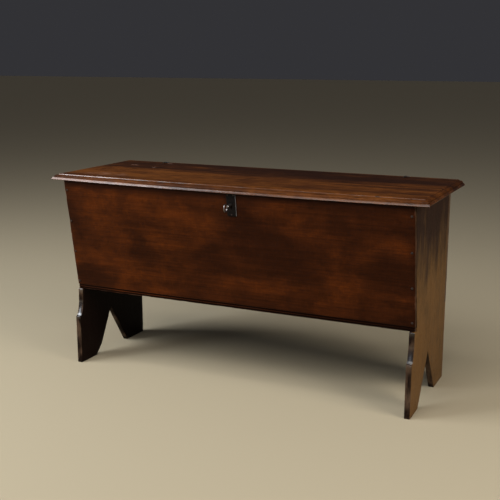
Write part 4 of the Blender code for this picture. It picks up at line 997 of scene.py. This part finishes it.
# The key is forged in one piece and filed: a stem turned down at its end, a collar, a kidney-shaped bow, and
# a bit with one ward slot. It stands in the keyhole with its bit down, as when the lock is open.
KEY_NECK = 0.0027
KEY_COLLAR = 0.0041
KEY_STEM = 0.0032
KEY_PIVOT = 0.0023
KEY_SIDES = 24
KEY_SHOULDER = -0.0333
KEY_END = -0.0368
BOW_MIDDLE = 0.0340
BOW_HALF_DEPTH = 0.0084
BOW_HALF_HEIGHT = 0.0094
BOW_DIMPLE = 0.35
BOW_POINTS = 44
BOW_WIRE = 0.00185
BIT_HALF = 0.0014
BIT_FRONT = 0.0206
BIT_BACK = 0.0304
BIT_FOOT = -0.0129
BIT_ARRIS = 0.00025
WARD_NEAR = 0.0220
WARD_FAR = 0.0233
WARD_LOW = -0.0093
WARD_HIGH = -0.0060

stem_profile = [
    (0, KEY_END), (KEY_PIVOT * 0.85, KEY_END), (KEY_PIVOT, KEY_END + 0.0003),
    (KEY_PIVOT, KEY_SHOULDER - 0.0006), (KEY_STEM, KEY_SHOULDER), (KEY_STEM, 0.0085),
    (KEY_STEM * 0.93, 0.0115), (KEY_STEM * 0.93, 0.0195), (KEY_STEM * 1.06, 0.0209),
    (KEY_COLLAR * 0.94, 0.0217), (KEY_COLLAR, 0.0226), (KEY_COLLAR * 0.94, 0.0235),
    (KEY_NECK * 1.05, 0.0243), (KEY_NECK * 0.95, 0.0254), (KEY_NECK * 1.1, 0.0268),
    (KEY_NECK * 0.9, 0.0278), (0, 0.0281),
]
key = turn_profile(stem_profile, KEY_SIDES)
laid_forward = Vector((0, -1, 0)).to_track_quat("Z", "Y").to_matrix().to_4x4()
bmesh.ops.transform(key, matrix=laid_forward, verts=key.verts)

bow_line = bpy.data.curves.new("bow_line", "CURVE")
bow_line.dimensions = "3D"
bow_line.bevel_depth = 1.0
bow_line.bevel_resolution = 4
spline = bow_line.splines.new("POLY")
spline.points.add(BOW_POINTS - 1)
spline.use_cyclic_u = True
for index, point in enumerate(spline.points):
    turn = 2 * math.pi * index / BOW_POINTS
    reach = 1 + BOW_DIMPLE * math.cos(turn)
    along = -BOW_MIDDLE - BOW_HALF_DEPTH * reach * math.cos(turn)
    point.co = (0, along, BOW_HALF_HEIGHT * reach * math.sin(turn), 1)
    point.radius = BOW_WIRE * (0.80 + 0.20 * math.sin(turn) ** 2)
bow = bpy.data.objects.new("bow_line", bow_line)
bpy.context.scene.collection.objects.link(bow)
bpy.context.view_layer.update()
bow_mesh = bpy.data.meshes.new_from_object(bow.evaluated_get(bpy.context.evaluated_depsgraph_get()))
bpy.data.objects.remove(bow)
key.from_mesh(bow_mesh)

bit = bmesh.new()
bit_outline = ((BIT_FRONT, BIT_FOOT), (BIT_BACK, BIT_FOOT), (BIT_BACK, 0), (BIT_FRONT, 0))
cheek = bit.faces.new([bit.verts.new((-BIT_HALF, along, height)) for along, height in bit_outline])
raised = bmesh.ops.extrude_face_region(bit, geom=[cheek])
moved = [item for item in raised["geom"] if isinstance(item, bmesh.types.BMVert)]
bmesh.ops.translate(bit, verts=moved, vec=(2 * BIT_HALF, 0, 0))
for along in (WARD_NEAR, WARD_FAR):
    saw_at(bit, (0, along, 0), (0, 1, 0))
for height in (WARD_LOW, WARD_HIGH):
    saw_at(bit, (0, 0, height), (0, 0, 1))


def in_ward(face):
    """Whether a face of the bit lies where the ward slot goes."""
    middle = face.calc_center_median()
    return WARD_NEAR < middle.y < WARD_FAR and WARD_LOW < middle.z < WARD_HIGH


bmesh.ops.delete(bit, geom=[face for face in bit.faces if in_ward(face)], context="FACES")
bmesh.ops.bridge_loops(bit, edges=[edge for edge in bit.edges if edge.is_boundary])
bmesh.ops.recalc_face_normals(bit, faces=bit.faces)
round_arrises(bit, BIT_ARRIS, lambda edge: True)
bit_mesh = bpy.data.meshes.new("bit")
bit.to_mesh(bit_mesh)
bit.free()
key.from_mesh(bit_mesh)
bmesh.ops.remove_doubles(key, verts=key.verts, dist=1e-6)
bmesh.ops.transform(key, matrix=to_lock, verts=key.verts)
finish_piece("key_filed", key, "key", STEEL, ["key"], sharp=40)
